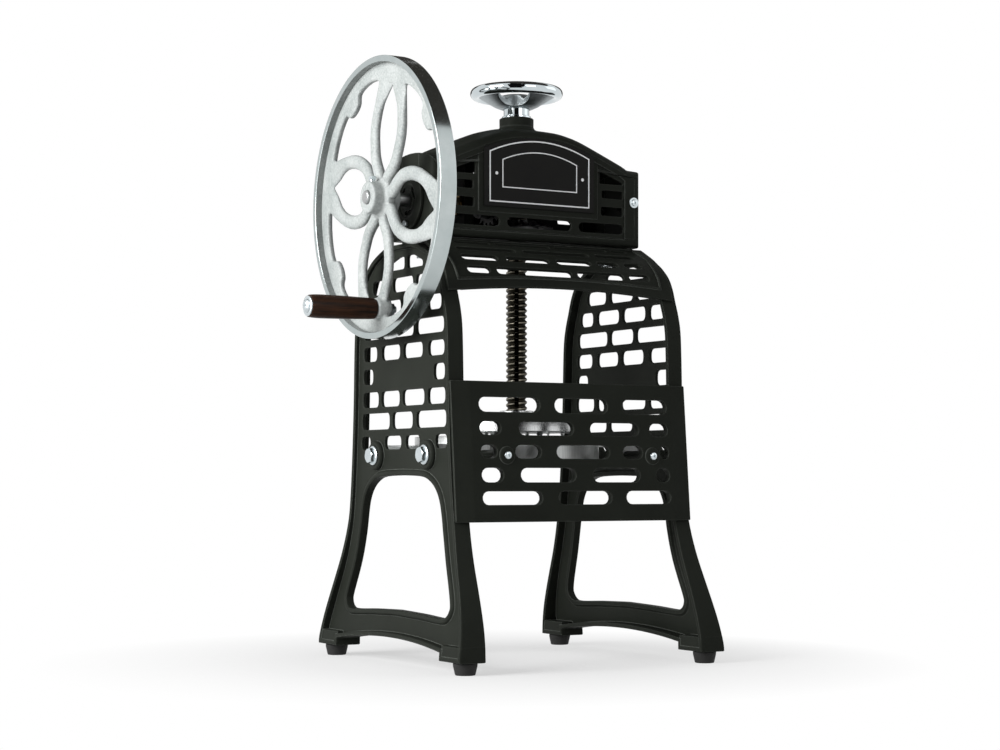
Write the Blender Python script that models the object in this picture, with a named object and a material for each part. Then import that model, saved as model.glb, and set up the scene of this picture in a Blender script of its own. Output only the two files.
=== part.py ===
"""Hand-cranked ice shaver, built piece by piece for Blender 4.5.

The sizes below are in millimetres and MM turns them into metres. The machine's own
frame has the feed spindle on X = 0, Y = 0, the floor at Z = 0, the operator at -Y and
the flywheel at -X. The machine's empty carries every piece and stands off along X, so
that the origin lies under the middle of the whole machine.
"""

import math

import bmesh
import bpy
from mathutils import Matrix, Vector

MM = 0.001
GAP = 0.3

# Heights of the stack over the floor, from the handwheel's rim down to the frames
WHEEL_TOP = 672.0
HAND_STAND = 36.0
BOSS_TOP = WHEEL_TOP - HAND_STAND
SHAFT_DEEP = 105.0
SHAFT_Z = BOSS_TOP - SHAFT_DEEP
HEAD_HIGH = 155.7
HEAD_LOW = BOSS_TOP - HEAD_HIGH
FRAME_TOP = HEAD_LOW - GAP

# Side frames: an H-section casting whose legs flare towards the feet. The leg is given by
# its distance outside the ice table and its height, the arch by its depth under the top.
TABLE_R = 120.0
LEG = (
    (55.6, 13.6), (54.2, 30.0), (50.0, 50.0), (43.0, 71.0), (34.0, 94.0), (23.5, 120.0),
    (14.8, 147.0), (8.6, 174.0), (4.3, 207.0), (0.4, 253.0), (-2.6, 306.0), (-4.0, 350.0),
)
ARCH = (
    (-5.8, 98.0), (-10.2, 78.0), (-16.4, 61.0), (-21.7, 46.0), (-29.0, 33.0), (-39.0, 23.0),
    (-50.5, 14.5), (-65.5, 7.7), (-82.0, 2.0),
)
ARCH_START = FRAME_TOP - ARCH[0][1] - 10.0
FRAME_PROFILE = tuple([(TABLE_R + out, z) for out, z in LEG if z < ARCH_START]
                      + [(TABLE_R + out, FRAME_TOP - down) for out, down in ARCH])
SEAT_STEP = 11.0
FRAME_SEAT = FRAME_PROFILE[-1][0] - SEAT_STEP
FLANGE = 5.5
FLANGE_IN = 136.0
FLANGE_OUT = 156.4
WEB_IN = 146.0
WEB = 5.5
FLARE_FROM = 170.0
FLARE_SPAN = 150.0
FLARE_OUT = 18.4
FLARE_IN = 5.3
FLARE_WEB = 14.0
FLARE_CUTS = 4
PAD_LONG = 47.6
PAD_INSIDE = FRAME_PROFILE[0][0] - PAD_LONG
PAD_TOP = 31.0
ARCH_TOP = 31.5
ARCH_SIDE = 22.5
WINDOW = (
    (0.0, 216.8), (48.0, 215.6), (68.0, 211.0), (83.0, 202.0), (93.0, 189.0), (98.5, 172.0),
    (103.0, 150.0), (112.0, 117.0), (127.0, 78.0), (127.5, 67.0), (120.0, 59.5), (106.0, 57.6),
    (60.0, 59.8), (0.0, 61.5),
)
BEAD_WIDE = 5.5
BEAD_HIGH = 2.5

# Brick pattern of the frames: bottom and top of each row under the frame's top, then its slots
FRAME_ROWS = (
    (28.0, 14.0, ((-48, -16), (-4, 28))),
    (53.5, 37.0, ((-76, -38), (-24, 19), (35, 76))),
    (79.0, 62.0, ((-92, -66), (-51, -10), (6, 47), (64, 92))),
    (105.0, 87.5, ((-98, -38), (-25, 18), (32, 98))),
    (130.5, 113.5, ((-99, -68), (-47, -8), (8, 45), (66, 99))),
    (157.5, 139.5, ((-100, -79), (76, 100))),
    (184.5, 166.5, ((-101, -67), (-51, -6), (9, 47), (62, 101))),
    (210.5, 191.5, ((-103, -39), (-23, 19), (34, 103))),
    (234.0, 218.5, ((-105, -84), (-40, -13), (5, 38), (84, 105))),
)
SLOT_CORNER = 4.5
SLOT_MARGIN = 6.0
SLOT_SHORT = 8.0

# Half width of the gear housing, and the seats inside the tops of the frames with its bolts
HEAD_HALF = 141.5
HEAD_BOLT_IN = 19.5
HEAD_BOLT_X = HEAD_HALF - HEAD_BOLT_IN
HEAD_BOLT_Y = 10.0
HEAD_BOLT_R = 3.0
SEAT_REACH = 12.0
SEAT_X = HEAD_BOLT_X - SEAT_REACH
SEAT_HALF = 19.0
SEAT_THICK = 9.0

# Rubber feet
FOOT_X = 158.0
FOOT_IN = 17.1
FOOT_Y = FRAME_PROFILE[0][0] - FOOT_IN
FOOT_TOP_R = 13.5
FOOT_LOW_R = 11.0
FOOT_HIGH = 13.3

# Slotted front panel, bolted to two stays on the ice table
PANEL_HALF = 155.5
PANEL_TOP = 320.0
PANEL_LOW = 164.0
PANEL_THICK = 3.2
PANEL_ROWS = (
    (286.0, 302.5, ((-122, -43), (-24, 47), (67, 128))),
    (260.5, 275.5, ((-122, -95), (-72, 0), (22, 88), (103, 128))),
    (234.5, 249.5, ((-122, -101), (-78, -44), (-24, 47), (65, 92), (116, 128))),
    (208.0, 224.0, ((-122, -94), (-72, 0), (23, 87), (109, 128))),
    (183.0, 198.0, ((-122, -45), (-24, 47), (67, 128))),
)
PANEL_SCREWS = (-89.0, 104.9)
PANEL_SCREW_Z = 238.0
PANEL_BOSS_R = 9.5
STAY_R = 6.5

# Curved upper front cover, a slotted casting over the front quarter of the arch
COVER_HALF = 150.0
COVER_DEEP = 63.0
COVER_LOW = FRAME_TOP - COVER_DEEP
COVER_LIFT = ((-82.0, 4.6), (-65.5, 1.8), (-50.5, 0.3))
COVER_THICK = 3.4
COVER_ARCH = 9.0
COVER_ROWS = (
    (11.0, 7.0, ((-112, -65), (-58, 15), (22, 93), (100, 122))),
    (29.5, 9.0, ((-118, -40), (-30, 59), (68, 122))),
    (49.5, 10.0, ((-120, -73), (-62, -5), (5, 52), (60, 90), (98, 122))),
    (70.0, 9.0, ((-120, -91), (-82, 17), (25, 88), (96, 124))),
)

# Gear housing on top: a middle head between two crowned covers. The roof is given by its
# distance from the middle and its depth under the boss, the slots by their height over the shaft.
HEAD_DEPTH = 20.7
CASE_DEPTH = 52.0
CASE_RISE = 6.7
CASE_LOW = HEAD_LOW + CASE_RISE
CASE_WALL = 4.5
ROOF = (
    (0.0, 13.5), (25.0, 14.5), (41.0, 17.0), (58.0, 21.5), (78.0, 29.2), (116.0, 45.0),
    (127.0, 50.5), (141.5, 51.5),
)
ROOF_FALL = 9.0
ROOF_WALL = 5.0
CASE_SCREW_IN = 10.5
CASE_SCREW_X = HEAD_HALF - CASE_SCREW_IN
CASE_SCREW_RISE = 9.0
CASE_SCREW_Z = SHAFT_Z + CASE_SCREW_RISE
CASE_POST_R = 7.0
CASE_SLOT_END = CASE_SCREW_X - 14.0
CASE_SLOTS = ((12.0, 21.5, 30.0), (-8.5, 2.0, 31.0))
CASE_WEDGE = ((33.0, 29.0), (0.0, 29.0), (0.0, 31.5), (33.0, 44.0))
CASE_LOW_SLOTS = ((-118, -52), (-42, 45), (55, 118))
CASE_LOW_ROW = (-29.5, -18.0)
REAR_ROWS = (1.0, 21.0, 41.0)
REAR_SLOT_HIGH = 10.0
REAR_SLOTS = ((-70, -8), (8, 70))
PLATE_HALF = 74.0
PLATE_RISE = (-7.5, 60.0)
PLATE_CROWN = 15.0
PLATE_THICK = 1.6
BOSS_R = 20.0
BOSS_LONG = 32.0

# Crankshaft line
SHAFT_R = 7.5
BEARING_R = 34.0
BEARING_THICK = 4.2
BEARING_FACE = -HEAD_HALF - GAP - BEARING_THICK
BEARING_STEP = 1.5
BOLT_INSET = 6.5
INNER_WALL = (-80.0, -68.0)

# Bevel gears, straight teeth on cones that meet where the two axes cross
MODULE = 3.2
PINION_TEETH = 15
GEAR_TEETH = 24
TOOTH_TIP = 0.23
CONE_KEPT = 0.72
PINION_HUB_R = 15.0
PINION_HUB = 14.0
GEAR_HUB_R = 20.0

# Flywheel: a spoked iron casting with a turned rim
WHEEL_R = 160.0
WHEEL_WIDE = 20.0
WHEEL_CLEAR = 12.6
WHEEL_FACE = -FLANGE_OUT - WHEEL_CLEAR - WHEEL_WIDE
RIM_LIP = 7.0
RIM_LIP_R = WHEEL_R - RIM_LIP
RING_WIDE = 15.0
RING_R = RIM_LIP_R - RING_WIDE
RING_RAMP = 20.0
WHEEL_SET = 11.5
WHEEL_MID = WHEEL_FACE + WHEEL_SET
SPOKE_THICK = 15.0
RING_THICK = 7.0
WHEEL_TURN = -12.0
HUB_R = 18.5
HUB_PROUD = 8.0
HUB_FACE = WHEEL_FACE - HUB_PROUD
HUB_GAP = 17.0
HUB_BACK = BEARING_FACE - HUB_GAP
SHAFT_PROUD = 3.0
SHAFT_END = HUB_FACE - SHAFT_PROUD
LUG_RISE = 12.5
LUG_LINE = ((15.5, 0.2), (24.0, 0.0), (35.5, 0.0), (38.5, 0.75), (44.0, 1.0), (49.5, 0.75),
            (52.5, 0.0), (65.0, 0.0), (76.0, 0.2))
ALMOND = ((27.0, 0.0), (38.0, 8.0), (54.0, 15.5), (72.0, 21.0), (87.0, 21.8), (103.0, 18.0),
          (119.0, 10.0), (131.0, 0.0))
TEARDROP = ((28.0, 0.0), (33.0, 8.5), (44.0, 18.0), (62.0, 25.2), (82.0, 24.8), (102.0, 18.8),
            (119.0, 9.5), (130.0, 0.0))
SPOKE_EDGE = ((52.0, 45.0), (57.0, 40.5), (69.0, 36.5), (83.0, 31.8), (100.0, 24.2), (128.0, 15.2))
LOOP_EDGE = ((128.0, 77.0), (110.0, 68.2), (90.0, 60.3), (70.0, 53.0), (59.0, 48.5))

# Crank pin and grip
PIN_R = 126.0
PIN_ANGLE = -90.0
PIN_BOSS_R = 13.5
PIN_BOSS_FRONT = 6.5
PIN_BOSS_BACK = 7.5
PIN_BOSS = (WHEEL_MID - PIN_BOSS_FRONT, WHEEL_MID + PIN_BOSS_BACK)
PIN_TAIL = 9.0
GRIP_LONG = 85.0
GRIP_START = PIN_BOSS[0] - 2 * GAP
GRIP_END = GRIP_START - GRIP_LONG
GRIP_R = ((0.0, 11.2), (0.1, 12.0), (0.45, 13.0), (0.85, 13.4), (1.0, 12.6))
GRIP_PIN_R = 4.0
PIN_HEAD_R = 8.0
PIN_HEAD_HIGH = 3.6
PIN_HEAD = 6.0
GRIP_CAP = GRIP_END - PIN_HEAD

# Feed spindle, press plate and handwheel
SPINDLE_R = 12.5
SPINDLE_LOW = 268.0
SPINDLE_TOP = BOSS_TOP + 4.0
KEYWAY_WIDE = 5.0
KEYWAY_DEEP = 3.0
KEYWAY_TURN = -30.0
PRESS_R = 75.0
PRESS_LOW = 266.3
PRESS_TOP = 279.0
PRESS_HUB_R = 20.0
PRESS_HUB_TOP = 292.0
SPIKE_R = 2.6
SPIKE_LONG = 5.0
SPIKE_INSET = 9.0
NUT_R = 15.0
NUT_BORE = 12.9
NUT_COLLAR = (2.0, 2.5)
RETAINER = 7.0
HAND_R = 54.5
HAND_TUBE = 6.5
HAND_HUB_R = 19.0
HAND_STUB = 11.3
HAND_HUB_LONG = 15.7
HAND_HUB = (BOSS_TOP + HAND_STUB, BOSS_TOP + HAND_STUB + HAND_HUB_LONG)
HAND_DISH = 5.0
HAND_HOLE_R = 17.5
HAND_HOLE_AT = 38.0
HAND_HOLE_TURN = 98.0

# Ice table with the blade underneath
TABLE_TOP = 260.8
TABLE_PLATE = 10.5
SKIRT_R = 97.0
SKIRT_LOW = 229.0
SKIRT_WALL = 9.0
LUG_Y = 63.0
LUG_HALF = 12.0
BOLT_Z = 239.0
BOLT_R = 4.0
BOLT_HEAD_R = 9.6
BOLT_FLANGE_R = 11.5
FRAME_BOSS_R = 17.0
FRAME_BOSS_FACE = 157.0
BLADE_X = (12.0, 74.0)
BLADE_EDGE_Y = -2.0
BLADE_PROUD = 0.2
BLADE_WIDE = 34.0
BLADE_THICK = 3.0
BLADE_TILT = 30.0
BLADE_MOUTH = 8.0
CLAMP_THICK = 5.0
CLAMP_SCREW = 23.0

# Middle of the whole machine along X, from the grip's cap to the flange at the foot
MIDDLE = (GRIP_CAP + FLANGE_OUT + FLARE_OUT) / 2

# Place of the crank pin (Y, Z) at rest
PIN_PLACE = (-PIN_R * math.cos(math.radians(PIN_ANGLE)),
             SHAFT_Z + PIN_R * math.sin(math.radians(PIN_ANGLE)))

# Empties that carry the pieces, each with the one it hangs from and its place: the standing
# machine, and one on the axis of each body that moves
CARRIERS = {
    "machine": (None, (0.0, 0.0, 0.0)),
    "flywheel_axis": ("machine", (WHEEL_MID, 0.0, SHAFT_Z)),
    "grip_axis": ("flywheel_axis", (GRIP_START, *PIN_PLACE)),
    "gear_axis": ("machine", (0.0, 0.0, SHAFT_Z)),
    "handwheel_axis": ("machine", (0.0, 0.0, BOSS_TOP)),
    "spindle_axis": ("machine", (0.0, 0.0, SPINDLE_LOW)),
}

# Finishes: base colour, metallic, roughness
FINISHES = {
    "satin_black": ((0.022, 0.023, 0.020), 0.0, 0.45),
    "plate_black": ((0.020, 0.020, 0.020), 0.0, 0.40),
    "silver_paint": ((0.62, 0.66, 0.65), 0.0, 0.42),
    "chrome": ((0.80, 0.81, 0.82), 1.0, 0.06),
    "steel": ((0.55, 0.55, 0.56), 1.0, 0.30),
    "oiled_steel": ((0.12, 0.11, 0.10), 1.0, 0.38),
    "zinc": ((0.68, 0.69, 0.70), 1.0, 0.28),
    "turned_iron": ((0.62, 0.62, 0.62), 1.0, 0.25),
    "bronze": ((0.60, 0.42, 0.16), 1.0, 0.35),
    "rubber": ((0.020, 0.020, 0.020), 0.0, 0.70),
    "stained_wood": ((0.070, 0.028, 0.014), 0.0, 0.40),
}


def carrier_place(name):
    """Where a carrier empty stands, in machine millimetres."""
    return Vector(CARRIERS[name][1])


def build_carriers():
    """The empties; the machine's is moved along X so that the origin is under its middle."""
    for name, (above, place) in CARRIERS.items():
        empty = bpy.data.objects.new(name, None)
        empty.empty_display_size = 0.03
        bpy.context.scene.collection.objects.link(empty)
        if above:
            empty.parent = bpy.data.objects[above]
            empty.location = (Vector(place) - carrier_place(above)) * MM
        else:
            empty.location = (-MIDDLE * MM, 0.0, 0.0)


def place_of(obj):
    """Where an object's origin is, in machine millimetres."""
    place = Vector()
    while obj.parent:
        place += obj.location
        obj = obj.parent
    return place / MM


def mesh_at(bm, name, origin):
    """Turn a bmesh in machine millimetres into a mesh about an origin, round parts smooth."""
    bmesh.ops.remove_doubles(bm, verts=bm.verts, dist=1e-4)
    bmesh.ops.recalc_face_normals(bm, faces=bm.faces)
    bmesh.ops.translate(bm, verts=bm.verts, vec=-origin)
    bmesh.ops.scale(bm, verts=bm.verts, vec=(MM, MM, MM))
    mesh = bpy.data.meshes.new(name)
    bm.to_mesh(mesh)
    bm.free()
    mesh.shade_smooth()
    mesh.set_sharp_from_angle(angle=math.radians(32.0))
    return mesh


def finish(bm, name, look, carrier="machine", at=None):
    """Make a named piece in its own material; its origin is its carrier's or a place of its own."""
    origin = Vector(at) if at else carrier_place(carrier)
    obj = bpy.data.objects.new(name, mesh_at(bm, name, origin))
    bpy.context.scene.collection.objects.link(obj)
    obj.parent = bpy.data.objects[carrier]
    obj.location = (origin - carrier_place(carrier)) * MM
    colour, metallic, roughness = FINISHES[look]
    material = bpy.data.materials.new(f"{name}_{look}")
    material.use_nodes = True
    shader = material.node_tree.nodes["Principled BSDF"]
    shader.inputs["Base Color"].default_value = (*colour, 1.0)
    shader.inputs["Metallic"].default_value = metallic
    shader.inputs["Roughness"].default_value = roughness
    material.diffuse_color = (*colour, 1.0)
    obj.data.materials.append(material)
    return obj


def change(target, bm, operation, tag):
    """Cut a helper from the target, or join it on, with an exact Boolean."""
    name = f"{target.name}_{tag}"
    helper = bpy.data.objects.new(name, mesh_at(bm, name, place_of(target)))
    bpy.context.scene.collection.objects.link(helper)
    helper.parent = target
    helper.hide_render = True
    helper.display_type = "WIRE"
    modifier = target.modifiers.new(tag, "BOOLEAN")
    modifier.operation = operation
    modifier.solver = "EXACT"
    modifier.object = helper


def cut(target, bm, tag="cut"):
    change(target, bm, "DIFFERENCE", tag)


def join(target, bm, tag="join"):
    change(target, bm, "UNION", tag)


def skin(bm, loops, closed=False):
    """Loft through rows of points: the first is drawn and extruded from row to row. The ends
    are filled unless the rows form a ring."""
    spot = bm.verts.layers.int.get("spot") or bm.verts.layers.int.new("spot")
    row = [bm.verts.new(p) for p in loops[0]]
    for i, vert in enumerate(row):
        vert[spot] = i
    first = [bm.edges.new(ends) for ends in zip(row, row[1:] + row[:1])]
    edges = first
    for loop in loops[1:] + ([loops[0]] if closed else []):
        grown = bmesh.ops.extrude_edge_only(bm, edges=edges)["geom"]
        row = [v for v in grown if isinstance(v, bmesh.types.BMVert)]
        edges = [e for e in grown if isinstance(e, bmesh.types.BMEdge) and e.is_boundary]
        for vert in row:
            vert.co = loop[vert[spot]]
    if not closed:
        for ends in (first, edges):
            bmesh.ops.edgeloop_fill(bm, edges=ends)


def along(axis, u, v, w):
    """A point from two coordinates in the section and one along the axis."""
    if axis == "X":
        return (w, u, v)
    if axis == "Y":
        return (u, w, v)
    return (u, v, w)


def prism(bm, outline, axis, low, high):
    """Push a closed outline along an axis."""
    skin(bm, [[along(axis, u, v, w) for u, v in outline] for w in (low, high)])


def box(bm, low, high):
    """A block between two corners."""
    corners = ((low[0], low[1]), (high[0], low[1]), (high[0], high[1]), (low[0], high[1]))
    prism(bm, corners, "Z", low[2], high[2])


def circle(u, v, radius, count=24, turn=0.0):
    """Points of a circle."""
    step = math.tau / count
    return [(u + radius * math.cos(turn + i * step), v + radius * math.sin(turn + i * step))
            for i in range(count)]


def rod(bm, axis, centre, radius, low, high, count=24, turn=0.0):
    """A straight round or many-sided bar."""
    prism(bm, circle(centre[0], centre[1], radius, count, turn), axis, low, high)


def lathe(bm, axis, centre, profile, count=32):
    """Spin a closed profile of (radius, place along the axis) about the axis. A run of the
    profile along the axis itself is left out, and flat ends become one face."""
    verts = [bm.verts.new(along(axis, centre[0] + radius, centre[1], place))
             for radius, place in profile]
    pairs = zip(range(len(profile)), list(range(1, len(profile))) + [0])
    edges = [bm.edges.new((verts[i], verts[j])) for i, j in pairs
             if profile[i][0] > 1e-6 or profile[j][0] > 1e-6]
    turn = {"X": (1, 0, 0), "Y": (0, -1, 0), "Z": (0, 0, 1)}[axis]
    before = set(bm.verts)
    bmesh.ops.spin(bm, geom=verts + edges, cent=along(axis, *centre, 0.0), axis=turn,
                   angle=math.tau, steps=count, use_merge=True)
    spun = [v for v in bm.verts if v not in before] + verts
    bmesh.ops.remove_doubles(bm, verts=spun, dist=1e-3)
    spun = [v for v in spun if v.is_valid]
    bmesh.ops.dissolve_limit(bm, angle_limit=math.radians(0.05), verts=spun,
                             edges=list({e for v in spun for e in v.link_edges}))


def rounded(u0, u1, v0, v1, radius, steps=3):
    """Outline of a rectangle with round corners."""
    radius = min(radius, 0.499 * (u1 - u0), 0.499 * (v1 - v0))
    points = []
    corners = ((u1 - radius, v1 - radius, 0), (u0 + radius, v1 - radius, 1),
               (u0 + radius, v0 + radius, 2), (u1 - radius, v0 + radius, 3))
    for u, v, quarter in corners:
        for i in range(steps + 1):
            angle = math.radians(90 * (quarter + i / steps))
            points.append((u + radius * math.cos(angle), v + radius * math.sin(angle)))
    return points


def stadium(u0, u1, v0, v1, steps=3):
    """Outline of a slot with half-round ends, drawn in where the slot is short."""
    high = (v1 - v0) / 2
    wide = min(high, 0.45 * (u1 - u0))
    middle = (v0 + v1) / 2
    points = []
    for u, start in ((u1 - wide, -90), (u0 + wide, 90)):
        for i in range(steps + 1):
            angle = math.radians(start + 180 * i / steps)
            points.append((u + wide * math.cos(angle), middle + high * math.sin(angle)))
    return points


def offset(outline, distance):
    """Move each point of a closed outline along its normal; positive goes to the left of travel."""
    moved = []
    count = len(outline)
    for i in range(count):
        before, here, after = (Vector(outline[(i + k) % count]) for k in (-1, 0, 1))
        first = (here - before).normalized()
        second = (after - here).normalized()
        normal = Vector((-first.y - second.y, first.x + second.x))
        if normal.length < 1e-6:
            normal = Vector((-first.y, first.x))
        normal.normalize()
        stretch = max(0.5, normal.dot(Vector((-first.y, first.x))))
        moved.append(tuple(here + normal * (distance / stretch)))
    return moved


def table_value(table, x):
    """Straight-line value between the rows of a table of pairs."""
    for (x0, y0), (x1, y1) in zip(table, table[1:]):
        if x <= x1:
            return y0 + (y1 - y0) * (x - x0) / (x1 - x0)
    return table[-1][1]


# Side frames

def flare(z):
    """How far down the flare a height is, from 0 at the waist to 1 at the foot."""
    return min(1.0, max(0.0, (FLARE_FROM - z) / FLARE_SPAN))


def flange_x(z):
    """Inner and outer edge of the flange at a height."""
    t = flare(z)
    return FLANGE_IN + FLARE_IN * t, FLANGE_OUT + FLARE_OUT * t ** 1.4


def web_x(z):
    """Inner face of the web at a height."""
    return WEB_IN + FLARE_WEB * flare(z) ** 2


def frame_outline():
    """Outline of the whole frame in (Y, Z): foot, arch between the feet, foot, sides and top."""
    side = list(FRAME_PROFILE)
    top = [(FRAME_SEAT, FRAME_TOP)]
    foot = [(PAD_INSIDE, FRAME_PROFILE[0][1]), (PAD_INSIDE, ARCH_SIDE)]
    arch = []
    for i in range(1, 5):
        u = PAD_INSIDE * (1 - i / 5)
        arch.append((u, ARCH_TOP - (ARCH_TOP - ARCH_SIDE) * (u / PAD_INSIDE) ** 2))
    right = [(0.0, ARCH_TOP)] + arch[::-1] + foot[::-1] + side + top
    return right + [(-u, v) for u, v in reversed(right[1:])]


def flange_ring():
    """The flange all round the frame, as one closed hoop."""
    bm = bmesh.new()
    outer = frame_outline()
    inner = offset(outer, FLANGE)
    sections = []
    for (yo, zo), (yi, zi) in zip(outer, inner):
        low, high = flange_x(zo)
        sections.append(((low, yo, zo), (high, yo, zo), (high, yi, zi), (low, yi, zi)))
    skin(bm, sections, closed=True)
    return bm


def web_plate():
    """The web, cut level across the flare so that it can follow it, then thickened."""
    bm = bmesh.new()
    rim = offset(frame_outline(), FLANGE / 2)
    bm.faces.new([bm.verts.new((0.0, u, v)) for u, v in rim])
    for i in range(FLARE_CUTS):
        height = FLARE_FROM - (FLARE_FROM - PAD_TOP - 10.0) * i / (FLARE_CUTS - 1)
        geometry = bm.verts[:] + bm.edges[:] + bm.faces[:]
        bmesh.ops.bisect_plane(bm, geom=geometry, plane_co=(0, 0, height), plane_no=(0, 0, 1))
    grown = bmesh.ops.extrude_face_region(bm, geom=bm.faces[:])["geom"]
    outer = [v for v in grown if isinstance(v, bmesh.types.BMVert)]
    bmesh.ops.translate(bm, verts=outer, vec=(WEB, 0.0, 0.0))
    for vert in bm.verts:
        vert.co.x += web_x(vert.co.z)
    return bm


def window_outline(grow=0.0):
    """Outline of the leg window in (Y, Z)."""
    outline = list(WINDOW) + [(-u, v) for u, v in reversed(WINDOW[1:-1])]
    return offset(outline, grow) if grow else outline


def window_bead():
    """Raised bead round the window on the outer face of the web."""
    bm = bmesh.new()
    inner = window_outline(-1.0)
    outer = window_outline(BEAD_WIDE)
    sections = []
    for (yi, zi), (yo, zo) in zip(inner, outer):
        a = web_x(zi) + WEB
        b = web_x(zo) + WEB
        sections.append(((a - 2.0, yi, zi), (a + BEAD_HIGH, yi, zi),
                         (b + BEAD_HIGH * 0.6, yo, zo), (b - 2.0, yo, zo)))
    skin(bm, sections, closed=True)
    return bm


def foot_blocks():
    """Solid blocks that carry the feet."""
    bm = bmesh.new()
    low = FRAME_PROFILE[0][1]
    for side in (-1, 1):
        loops = []
        for z, y_out in ((low, FRAME_PROFILE[0][0] - 0.8), (PAD_TOP, FRAME_PROFILE[1][0] - 2.2)):
            x0, x1 = flange_x(z)
            y_in = PAD_INSIDE + 0.8
            loops.append([(x, side * y, max(z, low + 0.2))
                          for x, y in ((x0 + 0.6, y_in), (x1 - 0.6, y_in), (x1 - 0.6, y_out),
                                       (x0 + 0.6, y_out))])
        skin(bm, loops)
    return bm


def frame_holes():
    """Leg window, brick-pattern slots and bolt holes."""
    bm = bmesh.new()
    low, high = FLANGE_IN - 10, FLANGE_OUT + FLARE_OUT + 10
    prism(bm, window_outline(), "X", WEB_IN - 4.0, high)
    for low_down, high_down, spans in FRAME_ROWS:
        z0, z1 = FRAME_TOP - low_down, FRAME_TOP - high_down
        reach = min(frame_depth(z0), frame_depth(z1)) - FLANGE - SLOT_MARGIN
        for y0, y1 in spans:
            y0, y1 = max(y0, -reach), min(y1, reach)
            if y1 - y0 > SLOT_SHORT and z0 > BOLT_Z + SLOT_MARGIN:
                prism(bm, rounded(y0, y1, z0, z1, SLOT_CORNER, 1), "X", WEB_IN - 4.0,
                      WEB_IN + WEB + 4.0)
    for side in (-1, 1):
        rod(bm, "X", (side * LUG_Y, BOLT_Z), BOLT_R + GAP, low, high, 12)
    return bm


def build_side_frame(name, side):
    """One side frame; side is -1 at the flywheel and 1 at the far side."""
    def handed(bm):
        if side < 0:
            bmesh.ops.scale(bm, verts=bm.verts, vec=(-1, 1, 1))
            bmesh.ops.reverse_faces(bm, faces=bm.faces)
        return bm

    frame = finish(handed(web_plate()), name, "satin_black", at=(side * WEB_IN, 0.0, 0.0))
    join(frame, handed(flange_ring()), "flange")
    join(frame, handed(window_bead()), "bead")
    join(frame, handed(foot_blocks()), "pads")
    bosses = bmesh.new()
    for sign in (-1, 1):
        lathe(bosses, "X", (sign * LUG_Y, BOLT_Z),
              ((0.0, WEB_IN + 1.0), (FRAME_BOSS_R, WEB_IN + 1.0),
               (FRAME_BOSS_R, FRAME_BOSS_FACE - 1.5), (FRAME_BOSS_R - 1.5, FRAME_BOSS_FACE),
               (0.0, FRAME_BOSS_FACE)), 20)
    join(frame, handed(bosses), "bosses")
    seat = bmesh.new()
    box(seat, (SEAT_X, -SEAT_HALF, FRAME_TOP - SEAT_THICK), (WEB_IN + 2.0, SEAT_HALF, FRAME_TOP))
    join(frame, handed(seat), "seat")
    for sign in (-1, 1):
        hole = bmesh.new()
        rod(hole, "Z", (HEAD_BOLT_X, sign * HEAD_BOLT_Y), HEAD_BOLT_R + GAP,
            FRAME_TOP - SEAT_THICK - 5, FRAME_TOP + 5, 12)
        cut(frame, handed(hole), "seat_hole_" + ("front" if sign < 0 else "rear"))
    cut(frame, handed(frame_holes()), "holes")
    return frame


def build_feet():
    """Four tapered rubber feet."""
    for x_name, x in (("left", -FOOT_X), ("right", FOOT_X)):
        for y_name, y in (("front", -FOOT_Y), ("rear", FOOT_Y)):
            bm = bmesh.new()
            lathe(bm, "Z", (x, y), ((0.0, 0.0), (FOOT_LOW_R, 0.0), (FOOT_TOP_R, FOOT_HIGH - 3.0),
                                    (FOOT_TOP_R, FOOT_HIGH), (0.0, FOOT_HIGH)), 20)
            finish(bm, f"foot_{y_name}_{x_name}", "rubber", at=(x, y, 0.0))


# Front panel

def frame_depth(z):
    """Half depth of the side frame at a height."""
    return table_value([(height, depth) for depth, height in FRAME_PROFILE], z)


def panel_y(z):
    """Front face of the panel, which leans on the frames at its top and bottom edges."""
    t = (PANEL_TOP - z) / (PANEL_TOP - PANEL_LOW)
    depth = frame_depth(PANEL_TOP) * (1 - t) + frame_depth(PANEL_LOW) * t
    return -depth - GAP - PANEL_THICK


def build_front_panel():
    """Slotted plate with plain margins, raised rings round its two screws."""
    bm = bmesh.new()
    loops = []
    for z in (PANEL_LOW, PANEL_TOP):
        y = panel_y(z)
        loops.append(((-PANEL_HALF, y, z), (PANEL_HALF, y, z),
                      (PANEL_HALF, y + PANEL_THICK, z), (-PANEL_HALF, y + PANEL_THICK, z)))
    skin(bm, loops)
    panel = finish(bm, "front_panel", "satin_black", at=(0.0, panel_y(PANEL_LOW), PANEL_LOW))
    slots = bmesh.new()
    for z0, z1, spans in PANEL_ROWS:
        for x0, x1 in spans:
            prism(slots, stadium(x0, x1, z0, z1), "Y", panel_y(z0) - 10, panel_y(z1) + 14)
    cut(panel, slots, "slots")
    bosses = bmesh.new()
    holes = bmesh.new()
    y = panel_y(PANEL_SCREW_Z)
    for x in PANEL_SCREWS:
        lathe(bosses, "Y", (x, PANEL_SCREW_Z),
              ((0.0, y + PANEL_THICK - 0.8), (PANEL_BOSS_R, y + PANEL_THICK - 0.8),
               (PANEL_BOSS_R, y - 1.0), (PANEL_BOSS_R - 1.0, y - 1.8), (0.0, y - 1.8)), 16)
        rod(holes, "Y", (x, PANEL_SCREW_Z), 2.5 + GAP, y - 10, y + 14, 10)
    join(panel, bosses, "bosses")
    cut(panel, holes, "holes")


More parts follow.
